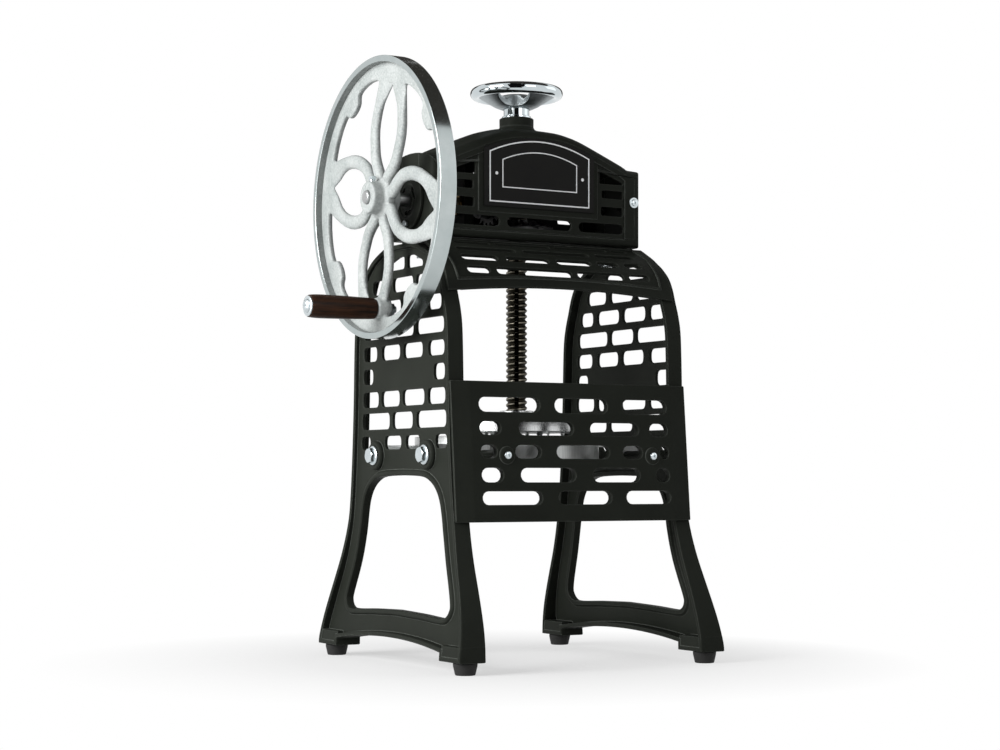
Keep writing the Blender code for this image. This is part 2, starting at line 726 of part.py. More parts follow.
def build_panel_screws():
    """Cross-head screws and the stays behind the panel that they go into."""
    y = panel_y(PANEL_SCREW_Z)
    for name, x in zip(("left", "right"), PANEL_SCREWS):
        bm = bmesh.new()
        face = y - 1.8 - GAP
        lathe(bm, "Y", (x, PANEL_SCREW_Z),
              ((0.0, face - 2.4), (2.6, face - 2.1), (4.2, face - 0.9), (4.4, face), (2.5, face),
               (2.5, y + PANEL_THICK + 14), (0.0, y + PANEL_THICK + 14)), 12)
        finish(bm, f"panel_screw_{name}", "zinc", at=(x, face, PANEL_SCREW_Z))
        bm = bmesh.new()
        back = -LUG_Y - LUG_HALF - 2
        start = panel_y(PANEL_SCREW_Z + STAY_R) + PANEL_THICK + 1.2
        lathe(bm, "Y", (x, PANEL_SCREW_Z),
              ((2.5 + GAP, start), (STAY_R, start), (STAY_R, back - GAP), (0.0, back - GAP),
               (0.0, y + PANEL_THICK + 16), (2.5 + GAP, y + PANEL_THICK + 16)), 12)
        finish(bm, f"panel_stay_{name}", "steel", at=(x, start, PANEL_SCREW_Z))


# Curved cover

def cover_line():
    """The cover's inner face (depth, height) from its top edge down, close over the frames."""
    arch = [Vector(p) for p in FRAME_PROFILE if p[1] > COVER_LOW]
    below = [Vector(p) for p in FRAME_PROFILE if p[1] <= COVER_LOW][-1]
    share = (COVER_LOW - below.y) / (arch[0].y - below.y)
    line = [below.lerp(arch[0], share)] + arch
    moved = []
    for i, here in enumerate(line):
        run = (line[min(i + 1, len(line) - 1)] - line[max(i - 1, 0)]).normalized()
        moved.append(here + Vector((run.y, -run.x)) * GAP)
    for point in moved:
        point.y += lift_at(point.x)
    return moved[::-1]


def lift_at(depth):
    """How far the cover rises off the frames towards its top edge."""
    out = depth - TABLE_R
    rows = ((-TABLE_R, COVER_LIFT[0][1]),) + COVER_LIFT
    return table_value(rows, out) if out < COVER_LIFT[-1][0] else 0.0


def cover_surface():
    """Points, outward normals and directions of travel along the cover's outer face."""
    line = cover_line()
    result = []
    for i, here in enumerate(line):
        run = (line[min(i + 1, len(line) - 1)] - line[max(i - 1, 0)]).normalized()
        normal = Vector((-run.y, run.x))
        result.append((here + normal * COVER_THICK, normal, run))
    return result


def place_on_cover(distance):
    """Outer-face point, inward normal and run at a length along the cover's section."""
    surface = cover_surface()
    for (p, n, r), (q, _, _) in zip(surface, surface[1:]):
        step = (q - p).length
        if distance <= step:
            return p + r * distance, n, r
        distance -= step
    return surface[-1]


def build_curved_cover():
    """Bent slotted plate; its lower edge is arched and a raised line frames the slots."""
    bm = bmesh.new()
    surface = cover_surface()
    columns = 6
    loops = []
    last = surface[-1][0]
    first = surface[0][0]
    for p, n, _ in surface:
        fall = (first.y - p.y) / (first.y - last.y)
        row_out, row_in = [], []
        for i in range(columns + 1):
            x = COVER_HALF * (2 * i / columns - 1)
            lift = COVER_ARCH * (1 - (x / COVER_HALF) ** 2) * max(0.0, fall - 0.75) / 0.25
            inner = p - n * COVER_THICK
            row_out.append((x, -p.x, p.y + lift))
            row_in.append((x, -inner.x, inner.y + lift))
        loops.append(row_out + row_in[::-1])
    skin(bm, loops)
    cover = finish(bm, "curved_cover", "satin_black", at=(0.0, 0.0, COVER_LOW))
    slots = bmesh.new()
    for distance, high, spans in COVER_ROWS:
        p, n, r = place_on_cover(distance)
        for x0, x1 in spans:
            loops = []
            for depth in (-8.0, 9.0):
                row = []
                for u, v in stadium(x0, x1, -high / 2, high / 2):
                    q = p + r * -v - n * depth
                    row.append((u, -q.x, q.y))
                loops.append(row)
            skin(slots, loops)
    cut(cover, slots, "slots")


# Gear housing

def roof_height(x):
    """Height of the roof's crown line at a distance from the middle."""
    return BOSS_TOP - table_value(ROOF, abs(x) * ROOF[-1][0] / HEAD_HALF)


def roof_outline(low, shrink=0.0):
    """Section of the housing in (X, Z), crowned on top."""
    share = (HEAD_HALF - shrink) / ROOF[-1][0]
    half = [(x * share, BOSS_TOP - down - shrink) for x, down in ROOF]
    right = half + [(HEAD_HALF - shrink, low + shrink)]
    return right + [(-u, v) for u, v in reversed(right[1:])]


def closed_roof(low, shrink, y):
    """The housing's section at one depth; the roof falls away from the middle."""
    drop = ROOF_FALL * (y / CASE_DEPTH) ** 2
    points = []
    for u, v in roof_outline(low, shrink):
        points.append((u, y, v - drop if v > low + shrink + 1.0 else v))
    return points


def build_gear_head():
    """Middle of the housing: end walls, roof with the top boss, floor and inner bearing wall."""
    bm = bmesh.new()
    depths = (-HEAD_DEPTH, 0.0, HEAD_DEPTH)
    skin(bm, [closed_roof(HEAD_LOW, 0.0, y) for y in depths])
    head = finish(bm, "gear_head", "satin_black", at=(0.0, 0.0, HEAD_LOW))
    hollow = bmesh.new()
    inner = [closed_roof(HEAD_LOW, ROOF_WALL, y) for y in (-HEAD_DEPTH - 5, 0.0, HEAD_DEPTH + 5)]
    skin(hollow, inner)
    cut(head, hollow, "hollow")
    wall = bmesh.new()
    outline = [(x, HEAD_LOW + ROOF_WALL / 2) for x in INNER_WALL]
    outline += [(x, roof_height(x) - ROOF_WALL / 2) for x in reversed(INNER_WALL)]
    prism(wall, outline, "Y", -HEAD_DEPTH + 3, HEAD_DEPTH - 3)
    join(head, wall, "wall")
    boss = bmesh.new()
    lathe(boss, "Z", (0, 0), ((0.0, BOSS_TOP - BOSS_LONG), (BOSS_R, BOSS_TOP - BOSS_LONG),
                              (BOSS_R, BOSS_TOP - 1.5), (BOSS_R - 1.5, BOSS_TOP),
                              (0.0, BOSS_TOP)), 28)
    join(head, boss, "boss")
    holes = bmesh.new()
    rod(holes, "Z", (0, 0), NUT_R + GAP, BOSS_TOP - BOSS_LONG - 8, BOSS_TOP + 5, 24)
    rod(holes, "Z", (0, 0), SPINDLE_R + 2.0, HEAD_LOW - 5, HEAD_LOW + 8, 20)
    for x in (-HEAD_BOLT_X, HEAD_BOLT_X):
        for y in (-HEAD_BOLT_Y, HEAD_BOLT_Y):
            rod(holes, "Z", (x, y), HEAD_BOLT_R + GAP, HEAD_LOW - 5, HEAD_LOW + 8, 12)
    rod(holes, "X", (0, SHAFT_Z), 17.5, -HEAD_HALF - 5, -HEAD_HALF + 10, 20)
    rod(holes, "X", (0, SHAFT_Z), SHAFT_R + 3.0 + GAP, INNER_WALL[0] - 5, INNER_WALL[1] + 5, 20)
    for y, z in bearing_bolts():
        rod(holes, "X", (y, z), 2.5 + GAP, -HEAD_HALF - 5, -HEAD_HALF + 10, 12)
    cut(head, holes, "holes")


def build_head_bolts():
    """Hexagon bolts that come up through the frames' seats into the housing's floor."""
    for x, x_name in ((-HEAD_BOLT_X, "left"), (HEAD_BOLT_X, "right")):
        for y, y_name in ((-HEAD_BOLT_Y, "front"), (HEAD_BOLT_Y, "rear")):
            bm = bmesh.new()
            seat = FRAME_TOP - SEAT_THICK - GAP
            rod(bm, "Z", (x, y), HEAD_BOLT_R, seat - 1.0, HEAD_LOW + ROOF_WALL + 2.0, 12)
            bolt = finish(bm, f"head_bolt_{y_name}_{x_name}", "zinc", at=(x, y, seat))
            head = bmesh.new()
            rod(head, "Z", (x, y), 5.8, seat - 4.2, seat, 6)
            join(bolt, head, "head")


def bearing_bolts():
    """Places (Y, Z) of the bolts that hold the outer bearing."""
    reach = BEARING_R - BOLT_INSET
    return [(0.0, SHAFT_Z + reach), (0.0, SHAFT_Z - reach)]


def build_case(name, side, slotted_face):
    """A crowned cover with slots; its outer top edge is well rounded."""
    seam = HEAD_DEPTH + GAP
    bm = bmesh.new()
    steps = ((seam, 0.0), (CASE_DEPTH - 12.0, 0.0), (CASE_DEPTH - 5.0, 2.0),
             (CASE_DEPTH - 1.5, 5.5), (CASE_DEPTH, 8.5))
    loops = []
    for depth, pull in steps:
        row = []
        fall = ROOF_FALL * (depth / CASE_DEPTH) ** 2
        for u, v in roof_outline(CASE_LOW, 0.0):
            x = u * (HEAD_HALF - pull) / HEAD_HALF
            z = v if v < CASE_LOW + 1 else v - max(fall, pull)
            row.append((x, side * depth, z))
        loops.append(row)
    skin(bm, loops)
    case = finish(bm, name, "satin_black", at=(0.0, side * seam, CASE_LOW))
    hollow = bmesh.new()
    inner = []
    for depth in (seam - 6.0, CASE_DEPTH - CASE_WALL - 8.0, CASE_DEPTH - CASE_WALL):
        pull = CASE_WALL + (4.5 if depth > CASE_DEPTH - CASE_WALL - 1 else 0.0)
        fall = ROOF_FALL * (depth / CASE_DEPTH) ** 2
        row = []
        for u, v in roof_outline(CASE_LOW, 0.0):
            x = u * (HEAD_HALF - pull) / HEAD_HALF
            z = CASE_LOW + CASE_WALL if v < CASE_LOW + 1 else v - fall - pull
            row.append((x, side * depth, z))
        inner.append(row)
    skin(hollow, inner)
    cut(case, hollow, "hollow")
    slots = bmesh.new()
    ends = (side * (CASE_DEPTH - CASE_WALL - 6.0), side * (CASE_DEPTH + 4.0))
    low, high = min(ends), max(ends)
    for sign in (-1, 1):
        for z0, z1, long in CASE_SLOTS:
            a, b = sorted((sign * (CASE_SLOT_END - long), sign * CASE_SLOT_END))
            prism(slots, rounded(a, b, SHAFT_Z + z0, SHAFT_Z + z1, 2.5, 1), "Y", low, high)
        wedge = [(sign * (CASE_SLOT_END - u), SHAFT_Z + v) for u, v in CASE_WEDGE]
        prism(slots, wedge, "Y", low, high)
    row = [SHAFT_Z + v for v in CASE_LOW_ROW]
    for x0, x1 in CASE_LOW_SLOTS:
        prism(slots, stadium(x0, x1, *row), "Y", low, high)
    if slotted_face:
        for rise in REAR_ROWS:
            z0 = SHAFT_Z + rise - REAR_SLOT_HIGH / 2
            for x0, x1 in REAR_SLOTS:
                prism(slots, stadium(x0, x1, z0, z0 + REAR_SLOT_HIGH), "Y", low, high)
    cut(case, slots, "slots")
    pads = bmesh.new()
    holes = bmesh.new()
    for sign in (-1, 1):
        x = sign * CASE_SCREW_X
        start, end = sorted((side * (seam + 0.2), side * (CASE_DEPTH - 1.0)))
        rod(pads, "Y", (x, CASE_SCREW_Z), CASE_POST_R, start, end, 12)
        rod(holes, "Y", (x, CASE_SCREW_Z), 2.5 + GAP, side * CASE_DEPTH - 40,
            side * CASE_DEPTH + 40, 10)
    join(case, pads, "pads")
    cut(case, holes, "holes")


def build_case_screws():
    """Pan-head screws with washers, two in each housing cover."""
    for side, face_name in ((-1, "front"), (1, "rear")):
        for sign, x_name in ((-1, "left"), (1, "right")):
            bm = bmesh.new()
            out = side * (CASE_DEPTH + GAP)
            lathe(bm, "Y", (sign * CASE_SCREW_X, CASE_SCREW_Z),
                  ((0.0, out + side * 3.4), (2.4, out + side * 3.2), (4.0, out + side * 1.4),
                   (6.2, out + side * 1.2), (6.2, out), (2.5, out),
                   (2.5, side * (HEAD_DEPTH + 4.0)), (0.0, side * (HEAD_DEPTH + 4.0))), 12)
            finish(bm, f"{face_name}_case_screw_{x_name}", "zinc",
                   at=(sign * CASE_SCREW_X, out, CASE_SCREW_Z))


def build_nameplate():
    """Bare crowned plate on the front cover."""
    bm = bmesh.new()
    steps = 8
    low, corner = (SHAFT_Z + rise for rise in PLATE_RISE)
    top = []
    for i in range(steps + 1):
        u = 1 - 2 * i / steps
        top.append((PLATE_HALF * u, corner + PLATE_CROWN * (1 - u * u)))
    outline = [(-PLATE_HALF, low), (PLATE_HALF, low)] + top
    front = -CASE_DEPTH - GAP
    prism(bm, outline, "Y", front - PLATE_THICK, front)
    finish(bm, "nameplate", "plate_black", at=(0.0, front, low))


# Crankshaft line

def build_bearings():
    """Outer bearing flange with three arms, its two bolts, and the inner bush."""
    bm = bmesh.new()
    inside = -HEAD_HALF - GAP
    step = BEARING_FACE - BEARING_STEP
    lathe(bm, "X", (0, SHAFT_Z),
          ((SHAFT_R + GAP, inside), (BEARING_R, inside), (BEARING_R, BEARING_FACE + 1.5),
           (BEARING_R - 1.5, BEARING_FACE), (20.5, BEARING_FACE), (18.5, step), (12.5, step),
           (11.5, step - BEARING_STEP), (SHAFT_R + GAP, step - BEARING_STEP)), 24)
    bearing = finish(bm, "crank_bearing", "satin_black", at=(inside, 0.0, SHAFT_Z))
    holes = bmesh.new()
    for turn in (90, 210, 330):
        points = []
        for radius, spread in ((17.5, 34), (17.5, 12), (17.5, -12), (17.5, -34), (11.8, -22),
                               (11.8, 22)):
            angle = math.radians(turn + 60 + spread)
            points.append((radius * math.cos(angle), SHAFT_Z + radius * math.sin(angle)))
        prism(holes, points, "X", BEARING_FACE - 8, -HEAD_HALF + 8)
    for y, z in bearing_bolts():
        rod(holes, "X", (y, z), 2.5 + GAP, BEARING_FACE - 8, -HEAD_HALF + 8, 12)
    cut(bearing, holes, "holes")
    for name, (y, z) in zip(("upper", "lower"), bearing_bolts()):
        bm = bmesh.new()
        head = BEARING_FACE - GAP
        lathe(bm, "X", (y, z), ((0.0, head - 3.6), (4.2, head - 3.4), (4.6, head), (2.5, head),
                                (2.5, -HEAD_HALF + 4.0), (0.0, -HEAD_HALF + 4.0)), 6)
        finish(bm, f"bearing_bolt_{name}", "zinc", at=(head, y, z))
    bm = bmesh.new()
    low, high = INNER_WALL
    lathe(bm, "X", (0, SHAFT_Z),
          ((SHAFT_R + GAP, low - 4), (SHAFT_R + 6, low - 4), (SHAFT_R + 6, low - GAP),
           (SHAFT_R + 3, low - GAP), (SHAFT_R + 3, high + 1), (SHAFT_R + GAP, high + 1)), 20)
    finish(bm, "inner_bush", "bronze", at=(low, 0.0, SHAFT_Z))


def cone_radii():
    """Pitch radii of the pinion and of the driven gear."""
    return MODULE * PINION_TEETH / 2, MODULE * GEAR_TEETH / 2


def tooth_outline(teeth, radius, cone, turn):
    """Outline of a bevel gear at its large end, tips and roots at the height of its cone."""
    tip = radius + 0.85 * MODULE / math.cos(cone)
    root = radius - 1.15 * MODULE / math.cos(cone)
    pitch = math.tau / teeth
    points = []
    for i in range(teeth):
        middle = turn + i * pitch
        for where, share in ((root, -0.6), (tip, -TOOTH_TIP), (tip, TOOTH_TIP), (root, 0.6)):
            angle = middle + share * pitch / 2
            points.append((where * math.cos(angle), where * math.sin(angle)))
    return points


def build_gears():
    """Bevel pinion on the crankshaft and the driven gear round the spindle."""
    pinion_r, gear_r = cone_radii()
    # The pinion's cone runs along -X from the crossing of the axes
    bm = bmesh.new()
    cone = math.atan2(pinion_r, gear_r)
    outline = tooth_outline(PINION_TEETH, pinion_r, cone, -math.pi / 2)
    loops = []
    for share in (CONE_KEPT, 1.0):
        loops.append([(-gear_r * share, u * share, SHAFT_Z + v * share) for u, v in outline])
    skin(bm, loops)
    pinion = finish(bm, "bevel_pinion", "oiled_steel", "flywheel_axis")
    hub = bmesh.new()
    rod(hub, "X", (0, SHAFT_Z), PINION_HUB_R, -gear_r - PINION_HUB, -gear_r + 4.0, 20)
    join(pinion, hub, "hub")
    bore = bmesh.new()
    rod(bore, "X", (0, SHAFT_Z), SHAFT_R + GAP, -gear_r - 30, 10, 20)
    cut(pinion, bore, "bore")
    # The driven gear's cone opens downwards from the same crossing
    bm = bmesh.new()
    cone = math.atan2(gear_r, pinion_r)
    outline = tooth_outline(GEAR_TEETH, gear_r, cone, math.pi + math.pi / GEAR_TEETH)
    loops = []
    for share in (CONE_KEPT, 1.0):
        loops.append([(u * share, v * share, SHAFT_Z - pinion_r * share) for u, v in outline])
    skin(bm, loops)
    gear = finish(bm, "bevel_gear", "oiled_steel", "gear_axis")
    hub = bmesh.new()
    lathe(hub, "Z", (0, 0), ((0.0, thrust_top() + GAP), (GEAR_HUB_R, thrust_top() + GAP),
                             (GEAR_HUB_R, SHAFT_Z - pinion_r - 4),
                             (GEAR_HUB_R + 7.0, SHAFT_Z - pinion_r - 4),
                             (GEAR_HUB_R + 7.0, SHAFT_Z - pinion_r + 1),
                             (GEAR_HUB_R, SHAFT_Z - pinion_r * 0.8),
                             (GEAR_HUB_R - 3.0, SHAFT_Z - pinion_r * CONE_KEPT + 2.0),
                             (0.0, SHAFT_Z - pinion_r * CONE_KEPT + 2.0)), 24)
    join(gear, hub, "hub")
    bore = bmesh.new()
    rod(bore, "Z", (0, 0), SPINDLE_R + 0.5, thrust_top() - 20, SHAFT_Z + 10, 24, math.pi / 24)
    cut(gear, bore, "bore")
    way = bmesh.new()
    half = KEYWAY_WIDE / 2 - 0.3 + GAP
    box(way, (-half, -SPINDLE_R - 4.0, thrust_top() - 10), (half, 0.0, SHAFT_Z + 10))
    cut(gear, keyed(way), "keyway")


def keyed(bm):
    """Turn a shape that is drawn on the front of the spindle to the side that its keyway faces."""
    turn = Matrix.Rotation(math.radians(KEYWAY_TURN), 3, "Z")
    bmesh.ops.rotate(bm, verts=bm.verts, cent=(0, 0, 0), matrix=turn)
    return bm


def thrust_top():
    """Top of the thrust washer on the housing's floor."""
    return HEAD_LOW + ROOF_WALL + GAP + 4.0


def build_drive_parts():
    """Thrust washer, the gear's key, the crankshaft and its collar."""
    pinion_r, gear_r = cone_radii()
    bm = bmesh.new()
    low = HEAD_LOW + ROOF_WALL + GAP
    lathe(bm, "Z", (0, 0), ((SPINDLE_R + 1.5, low), (20.0, low), (20.0, thrust_top()),
                            (SPINDLE_R + 1.5, thrust_top())), 20)
    finish(bm, "thrust_washer", "bronze", "gear_axis")
    bm = bmesh.new()
    half = KEYWAY_WIDE / 2 - 0.3
    top = SHAFT_Z - pinion_r * CONE_KEPT
    box(bm, (-half, -SPINDLE_R - 4.0 + GAP, thrust_top() + 2),
        (half, -SPINDLE_R + KEYWAY_DEEP - 2 * GAP, top))
    finish(keyed(bm), "drive_key", "steel", "gear_axis")
    bm = bmesh.new()
    lathe(bm, "X", (0, SHAFT_Z), ((0.0, SHAFT_END), (SHAFT_R - 1, SHAFT_END),
                                  (SHAFT_R, SHAFT_END + 1), (SHAFT_R, -gear_r * CONE_KEPT + 1),
                                  (0.0, -gear_r * CONE_KEPT + 1)), 20)
    finish(bm, "crankshaft", "steel", "flywheel_axis")
    bm = bmesh.new()
    lathe(bm, "X", (0, SHAFT_Z), ((SHAFT_R + GAP, -HEAD_HALF + 6), (12.5, -HEAD_HALF + 6),
                                  (12.5, -HEAD_HALF + 16), (SHAFT_R + GAP, -HEAD_HALF + 16)), 20)
    finish(bm, "shaft_collar", "steel", "flywheel_axis")


# Flywheel

def wheel_point(radius, degrees):
    """A point of the wheel in (Y, Z), the angle taken from its own top towards the front."""
    angle = math.radians(90.0 + WHEEL_TURN - degrees)
    return (-radius * math.cos(angle), SHAFT_Z + radius * math.sin(angle))


def wheel_window(outline, flare_out):
    """Cutter for one window, wider towards both faces so that the spokes come out rounded."""
    half = SPOKE_THICK / 2
    loops = []
    for place, grow in ((-half - 2, flare_out + 1.5), (-half * 0.35, 0.0), (half * 0.35, 0.0),
                        (half + 2, flare_out + 1.5)):
        grown = offset(outline, -grow)
        loops.append([(WHEEL_MID + place, y, z) for y, z in grown])
    return loops


def petal(table, middle):
    """Outline of a pointed window, symmetrical about a spoke angle."""
    points = []
    for r, w in table:
        points.append(wheel_point(math.hypot(r, w), middle - math.degrees(math.atan2(w, r))))
    for r, w in reversed(table[1:-1]):
        points.append(wheel_point(math.hypot(r, w), middle + math.degrees(math.atan2(w, r))))
    return points


def corner_window(top, hand):
    """Outline of a window between a spoke and a loop, with the wavy lug on the rim."""
    lug = [(RING_R - LUG_RISE * share, a) for a, share in LUG_LINE]
    points = list(SPOKE_EDGE) + lug + list(LOOP_EDGE)
    outline = [wheel_point(r, top + hand * a) for r, a in points]
    return outline if hand > 0 else outline[::-1]


def build_flywheel():
    """Rim, ring, petal spokes, hub and crank boss in one casting."""
    bm = bmesh.new()
    ring_low, ring_high = WHEEL_MID - RING_THICK / 2, WHEEL_MID + RING_THICK / 2
    low, high = WHEEL_MID - SPOKE_THICK / 2, WHEEL_MID + SPOKE_THICK / 2
    back = WHEEL_FACE + WHEEL_WIDE
    ramp = RING_R - RING_RAMP
    lathe(bm, "X", (0, SHAFT_Z),
          ((SHAFT_R + GAP, HUB_FACE), (HUB_R - 1.5, HUB_FACE), (HUB_R, HUB_FACE + 1.5),
           (HUB_R + 1.0, low), (ramp, low + 0.5), (RING_R + 1, ring_low),
           (RIM_LIP_R, ring_low), (RIM_LIP_R, WHEEL_FACE + 1), (RIM_LIP_R + 1, WHEEL_FACE),
           (WHEEL_R - 1, WHEEL_FACE), (WHEEL_R, WHEEL_FACE + 1),
           (WHEEL_R, back - 1), (WHEEL_R - 1, back), (RIM_LIP_R, back), (RIM_LIP_R, ring_high),
           (RING_R + 1, ring_high), (ramp, high - 0.5), (HUB_R + 1, high),
           (HUB_R, HUB_BACK), (SHAFT_R + GAP, HUB_BACK)), 44)
    wheel = finish(bm, "flywheel", "silver_paint", "flywheel_axis")
    windows = bmesh.new()
    for middle in (0.0, 180.0):
        skin(windows, wheel_window(petal(ALMOND, middle), 3.0))
        skin(windows, wheel_window(petal(TEARDROP, middle + 90.0), 3.5))
        skin(windows, wheel_window(corner_window(middle, 1), 3.5))
        skin(windows, wheel_window(corner_window(middle, -1), 3.5))
    cut(wheel, windows, "windows")
    boss = bmesh.new()
    y, z = PIN_PLACE
    lathe(boss, "X", (y, z), ((0.0, PIN_BOSS[0]), (PIN_BOSS_R - 2, PIN_BOSS[0]),
                              (PIN_BOSS_R, PIN_BOSS[0] + 3), (PIN_BOSS_R, PIN_BOSS[1] - 1),
                              (PIN_BOSS_R - 1, PIN_BOSS[1]), (0.0, PIN_BOSS[1])), 20)
    join(wheel, boss, "boss")
    holes = bmesh.new()
    rod(holes, "X", (y, z), GRIP_PIN_R + GAP, PIN_BOSS[0] - 5, PIN_BOSS[1] + 5, 12)
    rod(holes, "Z", (WHEEL_FACE - 1.0, 0), 3.0 + GAP, SHAFT_Z + SHAFT_R - 2.0, SHAFT_Z + 40, 12)
    cut(wheel, holes, "holes")


def build_crank_parts():
    """Set screw, crank pin, its nut, the turned grip and the washer on its end."""
    bm = bmesh.new()
    seat = SHAFT_Z + HUB_R + 1.0 + GAP
    x = WHEEL_FACE - 1.0
    rod(bm, "Z", (x, 0), 3.0, SHAFT_Z + SHAFT_R + GAP, seat + 1.0, 12)
    screw = finish(bm, "hub_set_screw", "zinc", "flywheel_axis")
    head = bmesh.new()
    rod(head, "Z", (x, 0), 4.2, seat, seat + 4.5, 4, math.pi / 4)
    join(screw, head, "head")
    y, z = PIN_PLACE
    bm = bmesh.new()
    head = GRIP_CAP + PIN_HEAD_HIGH
    lathe(bm, "X", (y, z), ((0.0, GRIP_CAP), (PIN_HEAD_R * 0.45, GRIP_CAP + PIN_HEAD_HIGH * 0.14),
                            (PIN_HEAD_R * 0.88, GRIP_CAP + PIN_HEAD_HIGH * 0.6),
                            (PIN_HEAD_R, head), (GRIP_PIN_R, head),
                            (GRIP_PIN_R, PIN_BOSS[1] + PIN_TAIL),
                            (0.0, PIN_BOSS[1] + PIN_TAIL)), 16)
    pin = finish(bm, "crank_pin", "zinc", "flywheel_axis")
    slot = bmesh.new()
    box(slot, (GRIP_CAP - 1, y - 9, z - 0.7), (GRIP_CAP + 1.6, y + 9, z + 0.7))
    cut(pin, slot, "slot")
    bm = bmesh.new()
    start = PIN_BOSS[1] + GAP
    rod(bm, "X", (y, z), 7.4, start, start + 5.5, 6)
    nut = finish(bm, "crank_pin_nut", "zinc", "flywheel_axis")
    bore = bmesh.new()
    rod(bore, "X", (y, z), GRIP_PIN_R + GAP, start - 5, start + 12, 12)
    cut(nut, bore, "bore")
    bm = bmesh.new()
    long = GRIP_START - GRIP_END
    profile = [(GRIP_PIN_R + GAP, GRIP_START)]
    profile += [(r, GRIP_START - long * t) for t, r in GRIP_R]
    profile += [(GRIP_PIN_R + GAP, GRIP_END)]
    lathe(bm, "X", (y, z), profile, 24)
    finish(bm, "crank_grip", "stained_wood", "grip_axis")
    bm = bmesh.new()
    lathe(bm, "X", (y, z), ((GRIP_PIN_R + GAP, GRIP_END - GAP), (11.5, GRIP_END - GAP),
                            (11.5, GRIP_CAP + 4.4), (10.5, GRIP_CAP + 3.9),
                            (GRIP_PIN_R + GAP, GRIP_CAP + 3.9)), 20)
    finish(bm, "grip_washer", "zinc", "flywheel_axis")


# Feed spindle, press plate, handwheel

def build_spindle():
    """Keyed feed spindle; its thread is left plain here."""
    bm = bmesh.new()
    lathe(bm, "Z", (0, 0), ((0.0, SPINDLE_LOW), (SPINDLE_R - 1, SPINDLE_LOW),
                            (SPINDLE_R, SPINDLE_LOW + 1), (SPINDLE_R, SPINDLE_TOP - 1.5),
                            (SPINDLE_R - 1.5, SPINDLE_TOP), (0.0, SPINDLE_TOP)), 24)
    spindle = finish(bm, "feed_spindle", "oiled_steel", "spindle_axis")
    way = bmesh.new()
    half = KEYWAY_WIDE / 2
    box(way, (-half, -SPINDLE_R - 5, PRESS_HUB_TOP + 4),
        (half, -SPINDLE_R + KEYWAY_DEEP, SPINDLE_TOP + 5))
    cut(spindle, keyed(way), "keyway")


def build_press_plate():
    """Round plate with a hub and short spikes that hold the ice."""
    bm = bmesh.new()
    lathe(bm, "Z", (0, 0), ((0.0, PRESS_LOW), (PRESS_R - 1, PRESS_LOW), (PRESS_R, PRESS_LOW + 1),
                            (PRESS_R, PRESS_TOP - 1.5), (PRESS_R - 1.5, PRESS_TOP),
                            (PRESS_HUB_R + 2, PRESS_TOP), (PRESS_HUB_R, PRESS_TOP + 2),
                            (PRESS_HUB_R, PRESS_HUB_TOP), (SPINDLE_R + GAP, PRESS_HUB_TOP),
                            (SPINDLE_R + GAP, SPINDLE_LOW - GAP), (0.0, SPINDLE_LOW - GAP)), 36)
    plate = finish(bm, "press_plate", "turned_iron", "spindle_axis")
    spikes = bmesh.new()
    places = [(PRESS_R - SPIKE_INSET, 3 + i * 45.0) for i in range(8)]
    places += [(PRESS_R * 0.52, 17 + i * 90.0) for i in range(4)]
    for radius, degrees in places:
        x = radius * math.cos(math.radians(degrees))
        y = radius * math.sin(math.radians(degrees))
        lathe(spikes, "Z", (x, y), ((0.0, PRESS_LOW - SPIKE_LONG), (SPIKE_R, PRESS_LOW - 0.8),
                                    (SPIKE_R, PRESS_LOW + 1.0), (0.0, PRESS_LOW + 1.0)), 6)
    join(plate, spikes, "spikes")


def build_feed_nut():
    """Feed nut that turns in the housing's boss, and the ring under it."""
    bm = bmesh.new()
    low = BOSS_TOP - BOSS_LONG - GAP - RETAINER
    face = BOSS_TOP + GAP
    wide, high = NUT_COLLAR
    lathe(bm, "Z", (0, 0), ((NUT_BORE, low), (NUT_R, low), (NUT_R, face), (NUT_R + wide, face),
                            (NUT_R + wide, face + high), (NUT_R, face + high),
                            (NUT_R, HAND_HUB[1] - 2), (NUT_BORE, HAND_HUB[1] - 2)), 24)
    finish(bm, "feed_nut", "chrome", "handwheel_axis")
    bm = bmesh.new()
    lathe(bm, "Z", (0, 0), ((NUT_R + GAP, low), (NUT_R + 4.5, low), (NUT_R + 4.5, low + RETAINER),
                            (NUT_R + GAP, low + RETAINER)), 20)
    finish(bm, "nut_retainer", "steel", "handwheel_axis")


def build_handwheel():
    """Plated handwheel: hub and dish turned in one, three round openings, and a rim of round
    section."""
    z0, z1 = HAND_HUB
    centre = WHEEL_TOP - HAND_TUBE
    major = HAND_R - HAND_TUBE
    under, over = [], []
    for share in (0.2, 0.55, 1.0):
        radius = HAND_HUB_R + (major - HAND_HUB_R) * share
        rise = z0 + 2.0 + (centre - 2.0 - z0) * share ** 1.2
        under.append((radius, rise - HAND_DISH / 2))
        over.append((radius, rise + HAND_DISH / 2))
    bm = bmesh.new()
    lathe(bm, "Z", (0, 0), [(NUT_R + GAP, z0), (HAND_HUB_R - 2, z0)] + under + over[::-1]
          + [(HAND_HUB_R, z1 - 3), (HAND_HUB_R - 3, z1), (NUT_R + GAP, z1)], 36)
    wheel = finish(bm, "handwheel", "chrome", "handwheel_axis")
    for i, name in enumerate(("first", "second", "third")):
        angle = math.radians(HAND_HOLE_TURN + 120 * i)
        hole = bmesh.new()
        rod(hole, "Z", (HAND_HOLE_AT * math.cos(angle), HAND_HOLE_AT * math.sin(angle)),
            HAND_HOLE_R, z0 - 10, WHEEL_TOP + 10, 24, 0.1)
        cut(wheel, hole, f"{name}_hole")
    rim = bmesh.new()
    lathe(rim, "Z", (0, 0), [(major + u, centre + v) for u, v in circle(0, 0, HAND_TUBE, 10)], 36)
    join(wheel, rim, "rim")


# Ice table and blade

